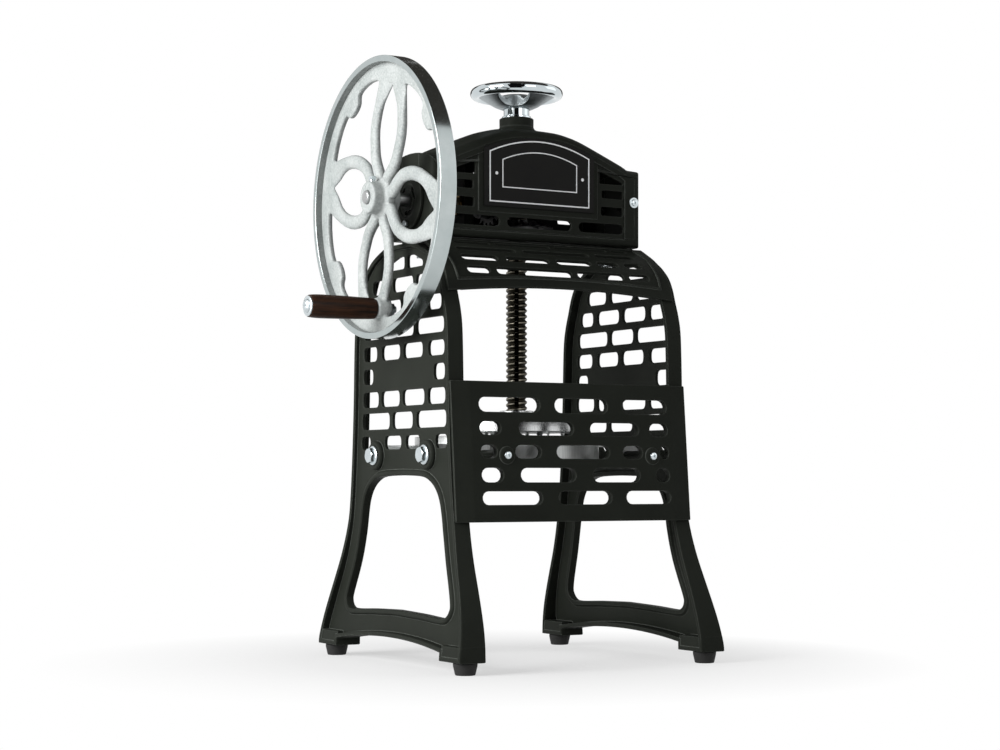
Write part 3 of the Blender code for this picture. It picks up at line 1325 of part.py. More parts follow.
def build_ice_table():
    """Round machined table on a ring, with four lugs to the side frames and a blade opening."""
    bm = bmesh.new()
    plate_low = TABLE_TOP - TABLE_PLATE
    lathe(bm, "Z", (0, 0), ((0.0, plate_low), (SKIRT_R - SKIRT_WALL, plate_low),
                            (SKIRT_R - SKIRT_WALL, SKIRT_LOW), (SKIRT_R, SKIRT_LOW),
                            (SKIRT_R, plate_low), (TABLE_R - 1, plate_low),
                            (TABLE_R, plate_low + 1), (TABLE_R, TABLE_TOP - 1),
                            (TABLE_R - 1, TABLE_TOP), (0.0, TABLE_TOP)), 40)
    table = finish(bm, "ice_table", "turned_iron", at=(0.0, 0.0, TABLE_TOP))
    lugs = bmesh.new()
    inside = WEB_IN - GAP
    for side in (-1, 1):
        start, end = sorted((side * 70.0, side * inside))
        for y in (-LUG_Y, LUG_Y):
            box(lugs, (start, y - LUG_HALF, BOLT_Z - 11), (end, y + LUG_HALF, plate_low + 1.0))
    join(table, lugs, "lugs")
    ledges = bmesh.new()
    for x in PANEL_SCREWS:
        box(ledges, (x - 9, -LUG_Y - LUG_HALF - 2, BOLT_Z - 9), (x + 9, -LUG_Y + 20, plate_low + 2.0))
    join(table, ledges, "ledges")
    holes = bmesh.new()
    for side in (-1, 1):
        for y in (-LUG_Y, LUG_Y):
            low, high = sorted((side * (inside + 5), side * (inside - 22)))
            rod(holes, "X", (y, BOLT_Z), BOLT_R + GAP, low, high, 12)
    cut(table, holes, "holes")
    bed = bmesh.new()
    back = BLADE_EDGE_Y + (BLADE_WIDE + 2) * math.cos(math.radians(BLADE_TILT))
    start = BLADE_EDGE_Y + 0.5 * BLADE_WIDE
    prism(bed, ((start, bed_height(start)), (back, bed_height(back)), (back, plate_low + 2.0),
                (start, plate_low + 2.0)), "X", *BLADE_X)
    join(table, bed, "bed")
    mouth = bmesh.new()
    slope = math.tan(math.radians(BLADE_TILT))
    above, below = TABLE_TOP + 3.0, plate_low - 3.0
    front = BLADE_EDGE_Y - BLADE_MOUTH
    prism(mouth, ((front, above), (BLADE_EDGE_Y - (above - bed_height(BLADE_EDGE_Y)) / slope, above),
                  (BLADE_EDGE_Y + (bed_height(BLADE_EDGE_Y) - below) / slope, below),
                  (front, below)), "X", BLADE_X[0] - 2.0, BLADE_X[1] + 2.0)
    cut(table, mouth, "mouth")
    for x in clamp_screws():
        hole = bmesh.new()
        rod(hole, "Z", (x, CLAMP_SCREW), 2.5 + GAP, -12, 8, 10)
        bmesh.ops.transform(hole, matrix=blade_frame(), verts=hole.verts)
        cut(table, hole, f"screw_{x:.0f}")


def build_table_bolts():
    """Hexagon bolts with a round flange, two through each side frame."""
    for side, x_name in ((-1, "left"), (1, "right")):
        for y, y_name in ((-LUG_Y, "front"), (LUG_Y, "rear")):
            bm = bmesh.new()
            face = side * (FRAME_BOSS_FACE + GAP)
            end = side * (WEB_IN - GAP - 18)
            lathe(bm, "X", (y, BOLT_Z), ((0.0, face + side * 2.4), (BOLT_FLANGE_R - 1, face + side * 2.4),
                                         (BOLT_FLANGE_R, face + side * 1.2), (BOLT_FLANGE_R, face),
                                         (BOLT_R, face), (BOLT_R, end), (0.0, end)), 16)
            bolt = finish(bm, f"table_bolt_{y_name}_{x_name}", "zinc", at=(face, y, BOLT_Z))
            head = bmesh.new()
            low, high = sorted((face + side * 1.0, face + side * 8.0))
            rod(head, "X", (y, BOLT_Z), BOLT_HEAD_R, low, high, 6, math.pi / 2)
            join(bolt, head, "head")


def bed_height(y):
    """Height of the sloping seat that the blade lies against, at a depth."""
    angle = math.radians(BLADE_TILT)
    return TABLE_TOP + BLADE_PROUD - (y - BLADE_EDGE_Y) * math.tan(angle) + GAP / math.cos(angle)


def blade_frame():
    """Matrix that puts the blade's edge in the table's mouth and slopes it down to the rear."""
    place = Matrix.Translation((0.0, BLADE_EDGE_Y, TABLE_TOP + BLADE_PROUD))
    return place @ Matrix.Rotation(math.radians(-BLADE_TILT), 4, "X")


def clamp_screws():
    """Places along X of the two clamp screws."""
    low, high = BLADE_X
    return low + 0.22 * (high - low), low + 0.78 * (high - low)


def build_blade():
    """Plane blade in the table's mouth, its clamp bar and two screws."""
    frame = blade_frame()
    bm = bmesh.new()
    prism(bm, ((0.0, 0.0), (BLADE_WIDE, 0.0), (BLADE_WIDE, -BLADE_THICK), (4.5, -BLADE_THICK)),
          "X", *BLADE_X)
    bmesh.ops.transform(bm, matrix=frame, verts=bm.verts)
    blade = finish(bm, "blade", "steel", at=frame.translation)
    bm = bmesh.new()
    top = -BLADE_THICK - GAP
    box(bm, (BLADE_X[0], 15.0, top - CLAMP_THICK), (BLADE_X[1], BLADE_WIDE - 2.0, top))
    bmesh.ops.transform(bm, matrix=frame, verts=bm.verts)
    clamp = finish(bm, "blade_clamp", "oiled_steel", at=frame.translation)
    for x, name in zip(clamp_screws(), ("inner", "outer")):
        for target in (blade, clamp):
            hole = bmesh.new()
            rod(hole, "Z", (x, CLAMP_SCREW), 2.5 + GAP, -20, 20, 10)
            bmesh.ops.transform(hole, matrix=frame, verts=hole.verts)
            cut(target, hole, f"hole_{name}")
        bm = bmesh.new()
        low = top - CLAMP_THICK - GAP
        lathe(bm, "Z", (x, CLAMP_SCREW), ((0.0, low - 4), (4.4, low - 4), (4.4, low), (2.5, low),
                                          (2.5, 4.0), (0.0, 4.0)), 10)
        bmesh.ops.transform(bm, matrix=frame, verts=bm.verts)
        finish(bm, f"clamp_screw_{name}", "zinc", at=frame.translation)


def build():
    """Build every piece from the floor up."""
    for obj in list(bpy.data.objects):
        bpy.data.objects.remove(obj, do_unlink=True)
    build_carriers()
    build_feet()
    build_side_frame("side_frame_left", -1)
    build_side_frame("side_frame_right", 1)
    build_front_panel()
    build_panel_screws()
    build_curved_cover()
    build_gear_head()
    build_case("front_cover", -1, False)
    build_case("rear_cover", 1, True)
    build_case_screws()
    build_head_bolts()
    build_nameplate()
    build_bearings()
    build_gears()
    build_drive_parts()
    build_flywheel()
    build_crank_parts()
    build_spindle()
    build_press_plate()
    build_feed_nut()
    build_handwheel()
    build_ice_table()
    build_table_bolts()
    build_blade()


build()
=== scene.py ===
import math

import bmesh
import bpy
from mathutils import Matrix, Vector


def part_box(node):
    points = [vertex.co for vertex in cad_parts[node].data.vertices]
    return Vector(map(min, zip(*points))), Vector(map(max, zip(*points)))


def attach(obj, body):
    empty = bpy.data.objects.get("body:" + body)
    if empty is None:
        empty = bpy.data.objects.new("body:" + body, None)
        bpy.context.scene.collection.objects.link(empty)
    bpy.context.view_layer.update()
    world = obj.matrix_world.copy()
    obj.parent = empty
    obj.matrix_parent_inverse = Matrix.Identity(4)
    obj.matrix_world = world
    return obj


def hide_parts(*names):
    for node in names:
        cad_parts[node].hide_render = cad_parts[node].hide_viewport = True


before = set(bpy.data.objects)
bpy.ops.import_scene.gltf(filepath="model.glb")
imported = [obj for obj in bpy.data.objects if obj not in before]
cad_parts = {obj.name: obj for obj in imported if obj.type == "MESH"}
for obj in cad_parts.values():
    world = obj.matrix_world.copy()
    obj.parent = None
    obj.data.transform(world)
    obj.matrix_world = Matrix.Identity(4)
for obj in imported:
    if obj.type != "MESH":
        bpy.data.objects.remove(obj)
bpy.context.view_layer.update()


# Camera
# It stands at the photograph's place, 21 cm above the table that the ice shaver stands on
# and a good two metres off, and looks level past the left front leg. The lens is shifted up.

def added(name, data):
    """A new object, put in the scene."""
    thing = bpy.data.objects.new(name, data)
    bpy.context.scene.collection.objects.link(thing)
    return thing


lens = bpy.data.cameras.new("camera")
lens.sensor_width = 36
lens.lens = 77.11
lens.shift_y = 0.104
camera = added("camera", lens)
camera.location = (-1.2361, -2.1744, 0.2117)
camera.rotation_euler = (math.radians(90), 0, math.radians(-30.17))
bpy.context.scene.camera = camera


# Floor, lamps and dark boards
# A white floor in a white room, a big soft lamp at the left and three weak ones that fill in.
# Dark boards over the machine, behind it, behind the camera, and high and low in front give
# the plated parts their black bands and keep the roof dark.

class Signal:
    """One output of a node, which takes arithmetic."""

    def __init__(self, finish, socket):
        self.finish = finish
        self.socket = socket

    def maths(self, operation, first, second):
        return self.finish.node("Math", {"operation": operation}, {0: first, 1: second})

    def __add__(self, other):
        return self.maths("ADD", self, other)

    def __sub__(self, other):
        return self.maths("SUBTRACT", self, other)

    def __rsub__(self, other):
        return self.maths("SUBTRACT", other, self)

    def __mul__(self, other):
        return self.maths("MULTIPLY", self, other)

    def __truediv__(self, other):
        return self.maths("DIVIDE", self, other)

    def __pow__(self, other):
        return self.maths("POWER", self, other)

    def over(self, other):
        return self.maths("MAXIMUM", self, other)

    def within(self):
        return self.finish.node("Clamp", {}, {0: self})

    __radd__ = __add__
    __rmul__ = __mul__


class Finish:
    """A node material; node() adds a node and returns one of its outputs."""

    def __init__(self, name, constants=()):
        self.material = bpy.data.materials.new(name)
        self.material.use_nodes = True
        self.tree = self.material.node_tree
        self.shader = self.tree.nodes["Principled BSDF"]
        for socket, value in dict(constants).items():
            self.connect(value, self.shader.inputs[socket])

    def node(self, kind, settings=(), sockets=(), output=0):
        node = self.tree.nodes.new("ShaderNode" + kind)
        for name, value in dict(settings).items():
            setattr(node, name, value)
        for name, value in dict(sockets).items():
            self.connect(value, node.inputs[name])
        return Signal(self, node.outputs[output])

    def connect(self, value, socket):
        """Link a signal to a socket, or set a value there; a colour is red, green and blue."""
        if isinstance(value, Signal):
            self.tree.links.new(value.socket, socket)
        elif socket.type == "RGBA":
            socket.default_value = (*value, 1)
        else:
            socket.default_value = value

    def blend(self, share, first, second):
        return self.node("Mix", {"data_type": "RGBA"}, {0: share, 6: first, 7: second}, 2)

    def place(self, centre=(0, 0, 0), scale=(1, 1, 1)):
        """Object coordinates, measured from a centre and stretched."""
        here = self.node("TexCoord", output="Object")
        start = [-c * s for c, s in zip(centre, scale)]
        return self.node("Mapping", {}, {"Vector": here, "Location": start, "Scale": scale})

    def noise(self, where, scale, detail=3, roughness=0.55):
        return self.node("TexNoise", {},
                         {"Vector": where, "Scale": scale, "Detail": detail, "Roughness": roughness})

    def ramp(self, value, *stops):
        grey = self.node("ValToRGB", {}, {0: value})
        for element, (place, level) in zip(grey.socket.node.color_ramp.elements, stops):
            element.position = place
            element.color = (level, level, level, 1)
        return grey

    def parts(self, vector):
        """The X, Y and Z of a vector."""
        outputs = self.node("SeparateXYZ", {}, {0: vector}).socket.node.outputs
        return [Signal(self, output) for output in outputs]

    def finished(self, colour, rough, height, strength, distance, **more):
        """Feed the shader its colour, its roughness and a bump, and give the material."""
        normal = self.node("Bump", {},
                           {"Strength": strength, "Distance": distance, "Height": height, **more})
        for name, value in (("Base Color", colour), ("Roughness", rough), ("Normal", normal)):
            self.connect(value, self.shader.inputs[name])
        return self.material


def shaded(colour, tone):
    return [tone * level for level in colour]


def seen_by_camera_and_metal(finish):
    """1 for rays that come from the camera, from a gloss or through glass."""
    path = [finish.node("LightPath", output=f"Is {kind} Ray")
            for kind in ("Camera", "Glossy", "Transmission")]
    return path[0].over(path[1]).over(path[2])


def white_floor():
    finish = Finish("white_floor",
                    {"Base Color": (0.72, 0.72, 0.72), "Roughness": 0.9, "Specular IOR Level": 0.1})
    here = finish.node("TexCoord", output="Object")
    far = finish.node("VectorMath", {"operation": "LENGTH"}, {0: here}, "Value")
    open_floor = finish.ramp(far / 2, (0.1, 0.55), (0.26, 1))
    glow = finish.node("Emission", {}, {"Color": (1, 1, 1), "Strength": 1})
    share = open_floor * seen_by_camera_and_metal(finish)
    paint = Signal(finish, finish.shader.outputs[0])
    floor = finish.node("MixShader", {}, {0: share, 1: paint, 2: glow})
    finish.connect(floor, finish.tree.nodes["Material Output"].inputs["Surface"])
    return finish.material


def dark_board(name, shade):
    return Finish(name, {"Base Color": (0, 0, 0), "Roughness": 1, "Specular IOR Level": 0,
                         "Emission Color": shade, "Emission Strength": 1}).material


def meshed(name, shape):
    """The mesh of a shape, which is used up."""
    mesh = bpy.data.meshes.new(name)
    shape.to_mesh(mesh)
    shape.free()
    return mesh


def aimed(thing, place, aim, axis):
    thing.location = place
    thing.rotation_euler = (Vector(aim) - Vector(place)).to_track_quat(axis, "Y").to_euler()


def sheet_of(name, material, place, wide, high, aim):
    """A flat rectangle that faces a point, for the floor and the boards."""
    shape = bmesh.new()
    bmesh.ops.create_grid(shape, x_segments=1, y_segments=1, size=0.5)
    bmesh.ops.scale(shape, verts=shape.verts, vec=(wide, high, 1))
    board = added(name, meshed(name, shape))
    board.data.materials.append(material)
    aimed(board, place, aim, "Z")
    return board


def soft_lamp(name, place, size, power, aim=(0, 0, 0.33)):
    lamp = bpy.data.lights.new(name, "AREA")
    lamp.size = size
    lamp.energy = power
    aimed(added(name, lamp), place, aim, "-Z")


sheet_of("floor", white_floor(), (0, 0, 0), 30, 30, (0, 0, 1))
grey_board = dark_board("grey_board", (0.052, 0.047, 0.042))
black_board = dark_board("black_board", (0.006, 0.006, 0.006))
board_aim = (0, 0, 0.4)
boards = (
    ("board_over", grey_board, (0.3, 0.1, 2), 2.6, 1.7),
    ("board_high", black_board, (-0.75, -1.25, 2.5), 0.9, 2.2),
    ("board_low", black_board, (-0.67, -1.14, 0.05), 0.75, 1.2),
    ("board_rear", grey_board, (1.1, 1.9, 1.45), 3, 1.4),
    ("board_front", black_board, (-1.43, -2.5, 1.7), 2.2, 3.8),
)
for board_name, board_paint, board_place, board_wide, board_high in boards:
    board = sheet_of(board_name, board_paint, board_place, board_wide, board_high, board_aim)
    board.visible_camera = False
    board.visible_diffuse = False
    board.visible_shadow = False
soft_lamp("lamp_left", (-2.3, -0.2, 1.25), 1.5, 92)
soft_lamp("lamp_low", (-1.8, 0.35, 0.15), 0.9, 10, (-0.15, 0, 0.15))
soft_lamp("lamp_right", (2.1, -0.9, 1.2), 1.4, 4)
soft_lamp("lamp_front", (0.3, -2.7, 1.5), 1.2, 12)

room = bpy.data.worlds.new("room")
room.use_nodes = True
bpy.context.scene.world = room
air = room.node_tree.nodes["Background"]
air.inputs["Color"].default_value = (1, 1, 1, 1)
kinds = ("LightPath", "Math", "MapRange")
rays, most, level = (room.node_tree.nodes.new("ShaderNode" + kind) for kind in kinds)
most.operation = "MAXIMUM"
level.inputs["To Min"].default_value = 0.17
level.inputs["To Max"].default_value = 1
for source, target in ((rays.outputs["Is Camera Ray"], most.inputs[0]),
                       (rays.outputs["Is Glossy Ray"], most.inputs[1]),
                       (most.outputs[0], level.inputs["Value"]),
                       (level.outputs[0], air.inputs["Strength"])):
    room.node_tree.links.new(source, target)
bpy.context.scene.view_settings.view_transform = "Standard"


# Side frames
# Two sand-cast iron frames in satin black: a flange all round, a slotted web inside it, a leg
# window with a rolled bead and two bosses for the table's bolts. The legs splay at the feet.

MM = 0.001
spindle_low, spindle_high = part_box("feed_spindle")
spindle_x = (spindle_low[0] + spindle_high[0]) / 2

frame_profile = (
    (175.6, 13.6), (174.2, 30), (170, 50), (163, 71), (154, 94), (143.5, 120),
    (134.8, 147), (128.6, 174), (124.3, 207), (120.4, 253), (117.4, 306), (116, 350),
    (114.2, 382), (109.8, 402), (103.6, 419), (98.3, 434), (91, 447), (81, 457),
    (69.5, 465.5), (54.5, 472.3), (38, 478),
)
leg_window = (
    (0, 216.8), (48, 215.6), (68, 211), (83, 202), (93, 189), (98.5, 172),
    (103, 150), (112, 117), (127, 78), (127.5, 67), (120, 59.5), (106, 57.6),
    (60, 59.8), (0, 61.5),
)
frame_slots = (
    (426.5, 443, ((-76, -32), (-25, 25), (34, 76))),
    (401, 418, ((-92, -60), (-52, -3), (5, 54), (63, 92))),
    (375, 392.5, ((-98, -32), (-26, 25), (31, 98))),
    (349.5, 366.5, ((-99, -61), (-48, -1), (7, 53), (65, 99))),
    (322.5, 340.5, ((-100, -74), (75, 100))),
    (295.5, 313.5, ((-101, -60), (-52, 1), (8, 54), (61, 101))),
    (269.5, 288.5, ((-103, -33), (-24, 26), (33, 103))),
    (246, 261.5, ((-105, -78), (-41, -7), (4, 45), (82, 105))),
)
arch_slots = (
    ((-48.5, 452), (-11, 452), (-11, 466.5), (-26, 466.5), (-48.5, 458)),
    ((-4, 452), (34, 452), (34, 459.5), (10, 466), (-4, 466.5)),
)
web_thick, web_x, web_splay = 4.4, 146, 14
flange_x, flange_wide, foot_shift, foot_widening = 136, 20.4, 5.3, 18.4
splay_top, splay_high = 170, 150
bolt_y, bolt_z = 63, 239


def smooth_line(points, pieces=4):
    """A smooth open line through the points."""
    ends = [points[0]] + list(points) + [points[-1]]
    line = []
    for a, b, c, d in zip(ends, ends[1:], ends[2:], ends[3:]):
        for i in range(pieces):
            t = i / pieces
            line.append(tuple(0.5 * (2 * q + (r - p) * t + (2 * p - 5 * q + 4 * r - s) * t * t
                                     + (3 * q - p - 3 * r + s) * t ** 3)
                              for p, q, r, s in zip(a, b, c, d)))
    line.append(tuple(points[-1]))
    return line


def soften(points, radius, steps=3):
    """An open line with its corners rounded."""
    line = [tuple(points[0])]
    for before, corner, after in zip(points, points[1:], points[2:]):
        a, b, c = Vector(before), Vector(corner), Vector(after)
        reach = min(radius, 0.49 * (a - b).length, 0.49 * (c - b).length)
        start = b + (a - b).normalized() * reach
        end = b + (c - b).normalized() * reach
        for i in range(steps + 1):
            t = i / steps
            line.append(tuple(start.lerp(b, t).lerp(b.lerp(end, t), t)))
    line.append(tuple(points[-1]))
    return line


def round_corners(outline, radius, steps=3):
    """A closed outline with its corners rounded."""
    return soften([outline[-1]] + list(outline) + [outline[0]], radius, steps)[1:-1]


def slot_outline(u0, u1, v0, v1, steps=7):
    """A slot with half-round ends."""
    high, middle = (v1 - v0) / 2, (v0 + v1) / 2
    wide = min(high, (u1 - u0) / 2)
    points = []
    for u, start in ((u1 - wide, -90), (u0 + wide, 90)):
        for i in range(steps + 1):
            angle = math.radians(start + 180 * i / steps)
            points.append((u + wide * math.cos(angle), middle + high * math.sin(angle)))
    return points


def rectangle(u0, u1, v0, v1):
    """The corners of a rectangle; from U = 0 it is also a rod's profile for the lathe."""
    return [(u0, v0), (u1, v0), (u1, v1), (u0, v1)]


def flipped(points):
    """The mirrored line on the other side of the middle, run the other way."""
    return [(-u, v) for u, v in reversed(points)]


def polar(radius, degrees):
    angle = math.radians(degrees)
    return (radius * math.cos(angle), radius * math.sin(angle))


def round_outline(u, v, radius, steps=32):
    turns = [math.tau * i / steps for i in range(steps)]
    return [(u + radius * math.cos(a), v + radius * math.sin(a)) for a in turns]


def inset(outline, distance):
    """A closed outline moved to the left of its travel, which is inwards when it runs
    counter-clockwise."""
    moved = []
    count = len(outline)
    for i in range(count):
        before, here, after = (Vector(outline[(i + k) % count]) for k in (-1, 0, 1))
        first = (here - before).normalized()
        second = (after - here).normalized()
        normal = Vector((-first.y - second.y, first.x + second.x)).normalized()
        stretch = max(0.5, normal.dot(Vector((-first.y, first.x))))
        moved.append(tuple(here + normal * (distance / stretch)))
    return moved


def shell_object(shape):
    """A passing object that holds a shape while a modifier works on it."""
    bmesh.ops.recalc_face_normals(shape, faces=shape.faces)
    return added("work", meshed("work", shape))


def settled(holder):
    """The shape that a passing object has with its modifiers, without the object."""
    graph = bpy.context.evaluated_depsgraph_get()
    mesh = bpy.data.meshes.new_from_object(holder.evaluated_get(graph))
    shape = bmesh.new()
    shape.from_mesh(mesh)
    bpy.data.objects.remove(holder)
    bpy.data.meshes.remove(mesh)
    return shape


def shifted(shape, x, y, z):
    bmesh.ops.translate(shape, verts=shape.verts, vec=(x, y, z))
    return shape


def scaled(shape, x, y, z):
    bmesh.ops.scale(shape, verts=shape.verts, vec=(x, y, z))
    return shape


def spun(shape, angle):
    """A shape turned about the upright axis."""
    turn = Matrix.Rotation(angle, 3, "Z")
    bmesh.ops.rotate(shape, verts=shape.verts, cent=(0, 0, 0), matrix=turn)
    return shape


def plate(outline, holes, thick, edge, rounds=2):
    """A flat plate drawn in U and V, from W = 0 to its thickness, its edges and holes rounded."""
    drawing = bpy.data.curves.new("plate", "CURVE")
    drawing.dimensions = "2D"
    drawing.fill_mode = "BOTH"
    drawing.extrude = thick / 2 - edge
    drawing.bevel_depth = edge
    drawing.bevel_resolution = rounds
    drawing.offset = -edge
    for points in [outline] + list(holes):
        line = drawing.splines.new("POLY")
        line.points.add(len(points) - 1)
        for point, (u, v) in zip(line.points, points):
            point.co = (u, v, 0, 1)
        line.use_cyclic_u = True
    shape = settled(added("plate", drawing))
    bpy.data.curves.remove(drawing)
    bmesh.ops.remove_doubles(shape, verts=shape.verts, dist=0.001)
    return shifted(shape, 0, 0, thick / 2)


def lofted(loops, closed=False):
    """Equal loops of points joined by faces: the first is drawn and extruded from loop to
    loop. The ends are filled, or the last loop meets the first."""
    shape = bmesh.new()
    spot = shape.verts.layers.int.new("spot")
    row = [shape.verts.new(point) for point in loops[0]]
    for i, vert in enumerate(row):
        vert[spot] = i
    first = [shape.edges.new(ends) for ends in zip(row, row[1:] + row[:1])]
    edges = first
    for loop in loops[1:] + ([loops[0]] if closed else []):
        grown = bmesh.ops.extrude_edge_only(shape, edges=edges)["geom"]
        edges = [e for e in grown if isinstance(e, bmesh.types.BMEdge) and e.is_boundary]
        for vert in (v for v in grown if isinstance(v, bmesh.types.BMVert)):
            vert.co = loop[vert[spot]]
    if closed:
        bmesh.ops.remove_doubles(shape, verts=shape.verts, dist=0.0005)
    else:
        for ends in (first, edges):
            bmesh.ops.edgeloop_fill(shape, edges=ends)
    shape.verts.layers.int.remove(shape.verts.layers.int["spot"])
    return shape


def moulding(outline, section):
    """A closed section of (inset, height) pairs swept round an outline in U and V."""
    return lofted([[(u, v, height) for u, v in inset(outline, pull)] for pull, height in section],
                  closed=True)


def stood(shape, axis, at, twist=Matrix()):
    """A shape drawn up the Z axis, stood on another axis and put in its place."""
    turn = {"X": Matrix.Rotation(math.radians(90), 4, "Y"), "Z": Matrix(),
            "front": Matrix.Rotation(math.radians(90), 4, "X"),
            "rear": Matrix.Rotation(math.radians(-90), 4, "X")}[axis]
    bmesh.ops.transform(shape, matrix=Matrix.Translation(at) @ turn @ twist, verts=shape.verts)
    return shape


def turned(profile, steps=64, axis="Z", at=(0, 0, 0)):
    """A piece from the lathe: (radius, place) pairs spun about an axis."""
    shape = bmesh.new()
    verts = [shape.verts.new((radius, 0, place)) for radius, place in profile]
    edges = [shape.edges.new(ends) for ends in zip(verts, verts[1:])]
    if profile[0][0] > 1e-6:
        edges.append(shape.edges.new((verts[-1], verts[0])))
    bmesh.ops.spin(shape, geom=verts + edges, cent=(0, 0, 0), axis=(0, 0, 1), angle=math.tau,
                   steps=steps, use_merge=True)
    bmesh.ops.remove_doubles(shape, verts=shape.verts, dist=0.001)
    return stood(shape, axis, at)


def rounded_edges(shape, edge):
    bmesh.ops.bevel(shape, geom=shape.edges[:], offset=edge, segments=2, profile=0.5, affect="EDGES",
                    material=-1)


def block(low, high, edge=0):
    """A block between two corners, its edges rounded."""
    shape = bmesh.new()
    bmesh.ops.create_cube(shape, size=1)
    scaled(shape, *(b - a for a, b in zip(low, high)))
    shifted(shape, *((a + b) / 2 for a, b in zip(low, high)))
    if edge:
        rounded_edges(shape, edge)
    return shape


def laid(shape, view, at=(0, 0, 0)):
    """A shape turned from its drawing, which shows it from the front, left or right."""
    axes = {"front": ((1, 0, 0), (0, 0, 1), (0, -1, 0)), "left": ((0, -1, 0), (0, 0, 1), (-1, 0, 0)),
            "right": ((0, 1, 0), (0, 0, 1), (1, 0, 0))}[view]
    turn = Matrix(axes).transposed().to_4x4()
    bmesh.ops.transform(shape, matrix=Matrix.Translation(at) @ turn, verts=shape.verts)
    return shape


def together(*shapes):
    """Several shells as one shape."""
    whole = bmesh.new()
    for shape in shapes:
        mesh = meshed("shell", shape)
        whole.from_mesh(mesh)
        bpy.data.meshes.remove(mesh)
    return whole


def cut_away(shape, *cutters, operation="DIFFERENCE"):
    """The shape less its cutters, one after another."""
    for cutter in cutters:
        holder = shell_object(shape)
        tool = shell_object(cutter)
        modifier = holder.modifiers.new("cut", "BOOLEAN")
        modifier.operation = operation
        modifier.solver = "EXACT"
        modifier.object = tool
        shape = settled(holder)
        bpy.data.objects.remove(tool)
    return shape


def fused(shape, voxel, rounds):
    """The shape's shells grown into one skin and smoothed, as a casting is."""
    holder = shell_object(shape)
    grid = holder.modifiers.new("fuse", "REMESH")
    grid.mode = "VOXEL"
    grid.voxel_size = voxel
    ease = holder.modifiers.new("ease", "SMOOTH")
    ease.factor = 0.5
    ease.iterations = rounds
    return settled(holder)


def slice_levels(shape, axis, levels):
    """Cut a shape's faces across at several places so that it can be bent there."""
    across = Vector([1 if name == axis else 0 for name in "XYZ"])
    for level in levels:
        geometry = shape.verts[:] + shape.edges[:] + shape.faces[:]
        bmesh.ops.bisect_plane(shape, geom=geometry, plane_co=across * level, plane_no=across)


def make(name, shape, materials, body, node, sharp=38):
    """Put a finished shape in the frame as a piece that stands for its CAD node."""
    bmesh.ops.recalc_face_normals(shape, faces=shape.faces)
    shifted(scaled(shape, MM, MM, MM), spindle_x, 0, 0)
    mesh = meshed(name, shape)
    mesh.shade_smooth()
    mesh.set_sharp_from_angle(angle=math.radians(sharp))
    for material in materials:
        mesh.materials.append(material)
    piece = added(name, mesh)
    even = piece.modifiers.new("even_shading", "WEIGHTED_NORMAL")
    even.keep_sharp = True
    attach(piece, body)
    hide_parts(node)


def satin_black_iron():
    """Satin black paint over sand-cast iron, a little thinner and greyer along the edges."""
    finish = Finish("satin_black_iron", {"Specular IOR Level": 0.03})
    where = finish.place()
    cloud = finish.noise(where, 14, 4)
    skin = finish.noise(where, 900, 3, 0.6)
    rounded = finish.node("Bevel", {"samples": 4}, {"Radius": 0.0013})
    facing = finish.node("NewGeometry", output="Normal")
    along = finish.node("VectorMath", {"operation": "DOT_PRODUCT"}, {0: rounded, 1: facing}, "Value")
    edge = ((1 - along) * 8 * finish.noise(where, 120, 2)).within()
    paint = finish.blend(cloud, (0.0108, 0.0120, 0.0096), (0.0205, 0.0230, 0.0190))
    worn = finish.blend(edge * 0.75, paint, (0.13, 0.14, 0.127))
    return finish.finished(worn, 0.36 + cloud * 0.12 + skin * 0.08, skin, 0.5, 0.00016, Normal=rounded)


iron = satin_black_iron()


def flare(z):
    """How far down the splay a height is, from 0 at the waist to 1 at the foot."""
    return min(1, max(0, (splay_top - z) / splay_high))


def splay(shape, web):
    """Move a shape drawn on the straight frame out along the splayed leg."""
    for vert in shape.verts:
        down = flare(vert.co.z)
        if web:
            vert.co.x += web_x + web_splay * down ** 2
        else:
            reach = (flange_wide + foot_widening * down ** 1.4 - foot_shift * down) / flange_wide
            vert.co.x = flange_x + foot_shift * down + vert.co.x * reach
    return shape


def frame_outline():
    arch = [(128 * i / 10, 31.5 - 9 * (i / 10) ** 2) for i in range(11)]
    right = arch + [(128, 13.6)] + smooth_line(frame_profile, 3) + [(27, 480)]
    return right + flipped(right[1:])


def window_outline():
    half = smooth_line(leg_window, 4)
    return (half + flipped(half[1:-1]))[::-1]


